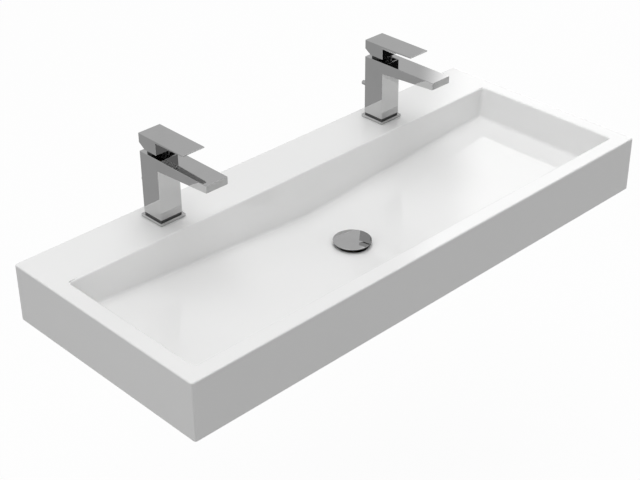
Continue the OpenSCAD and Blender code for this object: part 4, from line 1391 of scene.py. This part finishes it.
@dataclass
class Studio:
    """Camera, pale floor, soft lights and the grey cards that the chrome mirrors."""

    image_width: float = 640.0
    focal_pixels: float = 1416.0
    sensor: float = 36.0
    azimuth: float = -43.98
    elevation: float = 31.58
    roll: float = -0.416
    distance: float = 2.6237
    aim: tuple[float, float, float] = (-0.1492, -0.3296, 0.060)
    floor_level: float = -0.79
    floor_size: float = 24.0
    floor_tone: float = 0.3
    shown_floor_tone: float = 0.95
    shadow_share: float = 0.06
    ambient: float = 0.47
    lamp_aim: tuple[float, float, float] = (0.0, -0.25, 0.0)
    lamps: Sequence[Lamp] = (
        Lamp("key", power=126.0, size=(5.0, 4.0), place=(0.1, -0.3, 5.0)),
        Lamp("fill", power=11.0, size=(1.6, 1.2), place=(-3.0, -0.6, 0.9)),
        Lamp("rear_fill", power=32.0, size=(2.4, 2.0), place=(4.5, 2.8, 2.8), mirrored=False),
    )
    side: float = 8.0
    rear: float = 3.0
    front: float = -4.0
    top: float = 6.0
    near: float = 0.3
    join: float = 1.2
    beside: float = -0.7
    before: float = -1.0
    card_lift: float = 0.01

    def camera(self) -> None:
        """Sets the camera at the photo's angle."""
        az, el, roll = (math.radians(a) for a in (self.azimuth, self.elevation, self.roll))
        back = Vector((math.sin(az) * math.cos(el), -math.cos(az) * math.cos(el), math.sin(el)))
        right = UPWARDS.cross(back).normalized()
        up = back.cross(right)
        turned_right = right * math.cos(roll) + up * math.sin(roll)
        turned_up = up * math.cos(roll) - right * math.sin(roll)
        turn = Matrix((turned_right, turned_up, back)).transposed().to_4x4()
        lens = bpy.data.cameras.new("photo_camera")
        lens.sensor_width = self.sensor
        lens.lens = self.focal_pixels * self.sensor / self.image_width
        camera = bpy.data.objects.new("photo_camera", lens)
        bpy.context.scene.collection.objects.link(camera)
        camera.matrix_world = Matrix.Translation(Vector(self.aim) + back * self.distance) @ turn
        bpy.context.scene.camera = camera

    def world(self) -> None:
        """Lights evenly from all round, and shows white to the camera, metal and glass."""
        world = bpy.data.worlds.new("studio")
        bpy.context.scene.world = world
        world.use_nodes = True
        graph = Graph(world.node_tree)
        strength = self.ambient + (1.0 - self.ambient) * self._seen(graph)
        shown = graph.add("ShaderNodeBackground", {"Color": grey(1.0), "Strength": strength})
        graph.add("ShaderNodeOutputWorld", {"Surface": shown})

    @staticmethod
    def _seen(graph: Graph) -> Signal:
        """Gives 1 where the camera, metal or glass looks, and 0 for soft light."""
        camera, glossy, glass = (
            graph.add("ShaderNodeLightPath", output=f"Is {ray} Ray")
            for ray in ("Camera", "Glossy", "Transmission")
        )
        return camera | glossy | glass

    def floor(self) -> None:
        """Lays a plain pale floor, which the camera and mirrors see as white but for shadow."""
        bpy.ops.object.select_all(action="DESELECT")
        bpy.ops.mesh.primitive_plane_add(size=self.floor_size, location=(0, 0, self.floor_level))
        floor = bpy.context.object
        floor.name = "floor"
        floor.data.materials.append(make_material("pale_floor", self._floor_surface))

    def _floor_surface(self, graph: Graph) -> Signal:
        """Draws the floor: matt to soft light, and nearly white where it is seen."""
        shaded = graph.either(self.shadow_share, graph.glow(1.0),
                              graph.matt(self.shown_floor_tone))
        return graph.either(self._seen(graph), graph.matt(self.floor_tone), shaded)

    def _upright(self, y: float, low: float, left: float, right: float) -> list[Sequence[float]]:
        """Gives the corners of a card that stands across the studio between two places."""
        return [(left, y, low), (right, y, low), (right, y, self.top), (left, y, self.top)]

    def _flat(self, left: float, right: float, near: float, far: float) -> list[Sequence[float]]:
        """Gives the corners of a card that lies on the floor."""
        z = self.floor_level + self.card_lift
        return [(left, near, z), (right, near, z), (right, far, z), (left, far, z)]

    def _cards(self) -> list[Card]:
        """Gives the cards: dim ground and rear, a bright rear right, a dark front and left."""
        side, front, rear, near, top = self.side, self.front, self.rear, self.near, self.top
        low = self.floor_level + self.card_lift
        left = [(-side, front, near), (-side, rear, near), (-side, rear, top),
                (-side, front, top)]
        return [
            Card("ground_card", self._flat(-side, side, near, rear), tone=0.47),
            Card("left_ground_card", self._flat(-side, self.beside, self.before, near),
                 tone=0.47),
            Card("corner_ground_card", self._flat(-side, self.beside, front, self.before),
                 tone=0.01),
            Card("rear_card", self._upright(rear, low, -side, side), tone=0.65, far_tone=2.1,
                 edge=(4.32, 4.82), lean=0.2),
            Card("front_card", self._upright(front, near, self.join, side), tone=0.3,
                 far_tone=0.01, edge=(2.7, 3.6)),
            Card("left_front_card", self._upright(front, near, -side, self.join), tone=0.03),
            Card("left_card", left, tone=0.03),
        ]

    def build(self) -> None:
        """Sets up the whole studio."""
        self.camera()
        self.world()
        self.floor()
        for lamp in self.lamps:
            lamp.hang(Vector(self.lamp_aim))
        for card in self._cards():
            card.stand()


def main() -> None:
    """Builds the object piece by piece, then the studio."""
    logging.basicConfig(level=logging.INFO, format="%(message)s")
    scene = bpy.context.scene
    scene.view_settings.view_transform = "Standard"
    BasinCasting().build()
    fit_mixers()
    Waste().build()
    dress_inner_nodes()
    Studio().build()


if __name__ == "__main__":
    main()
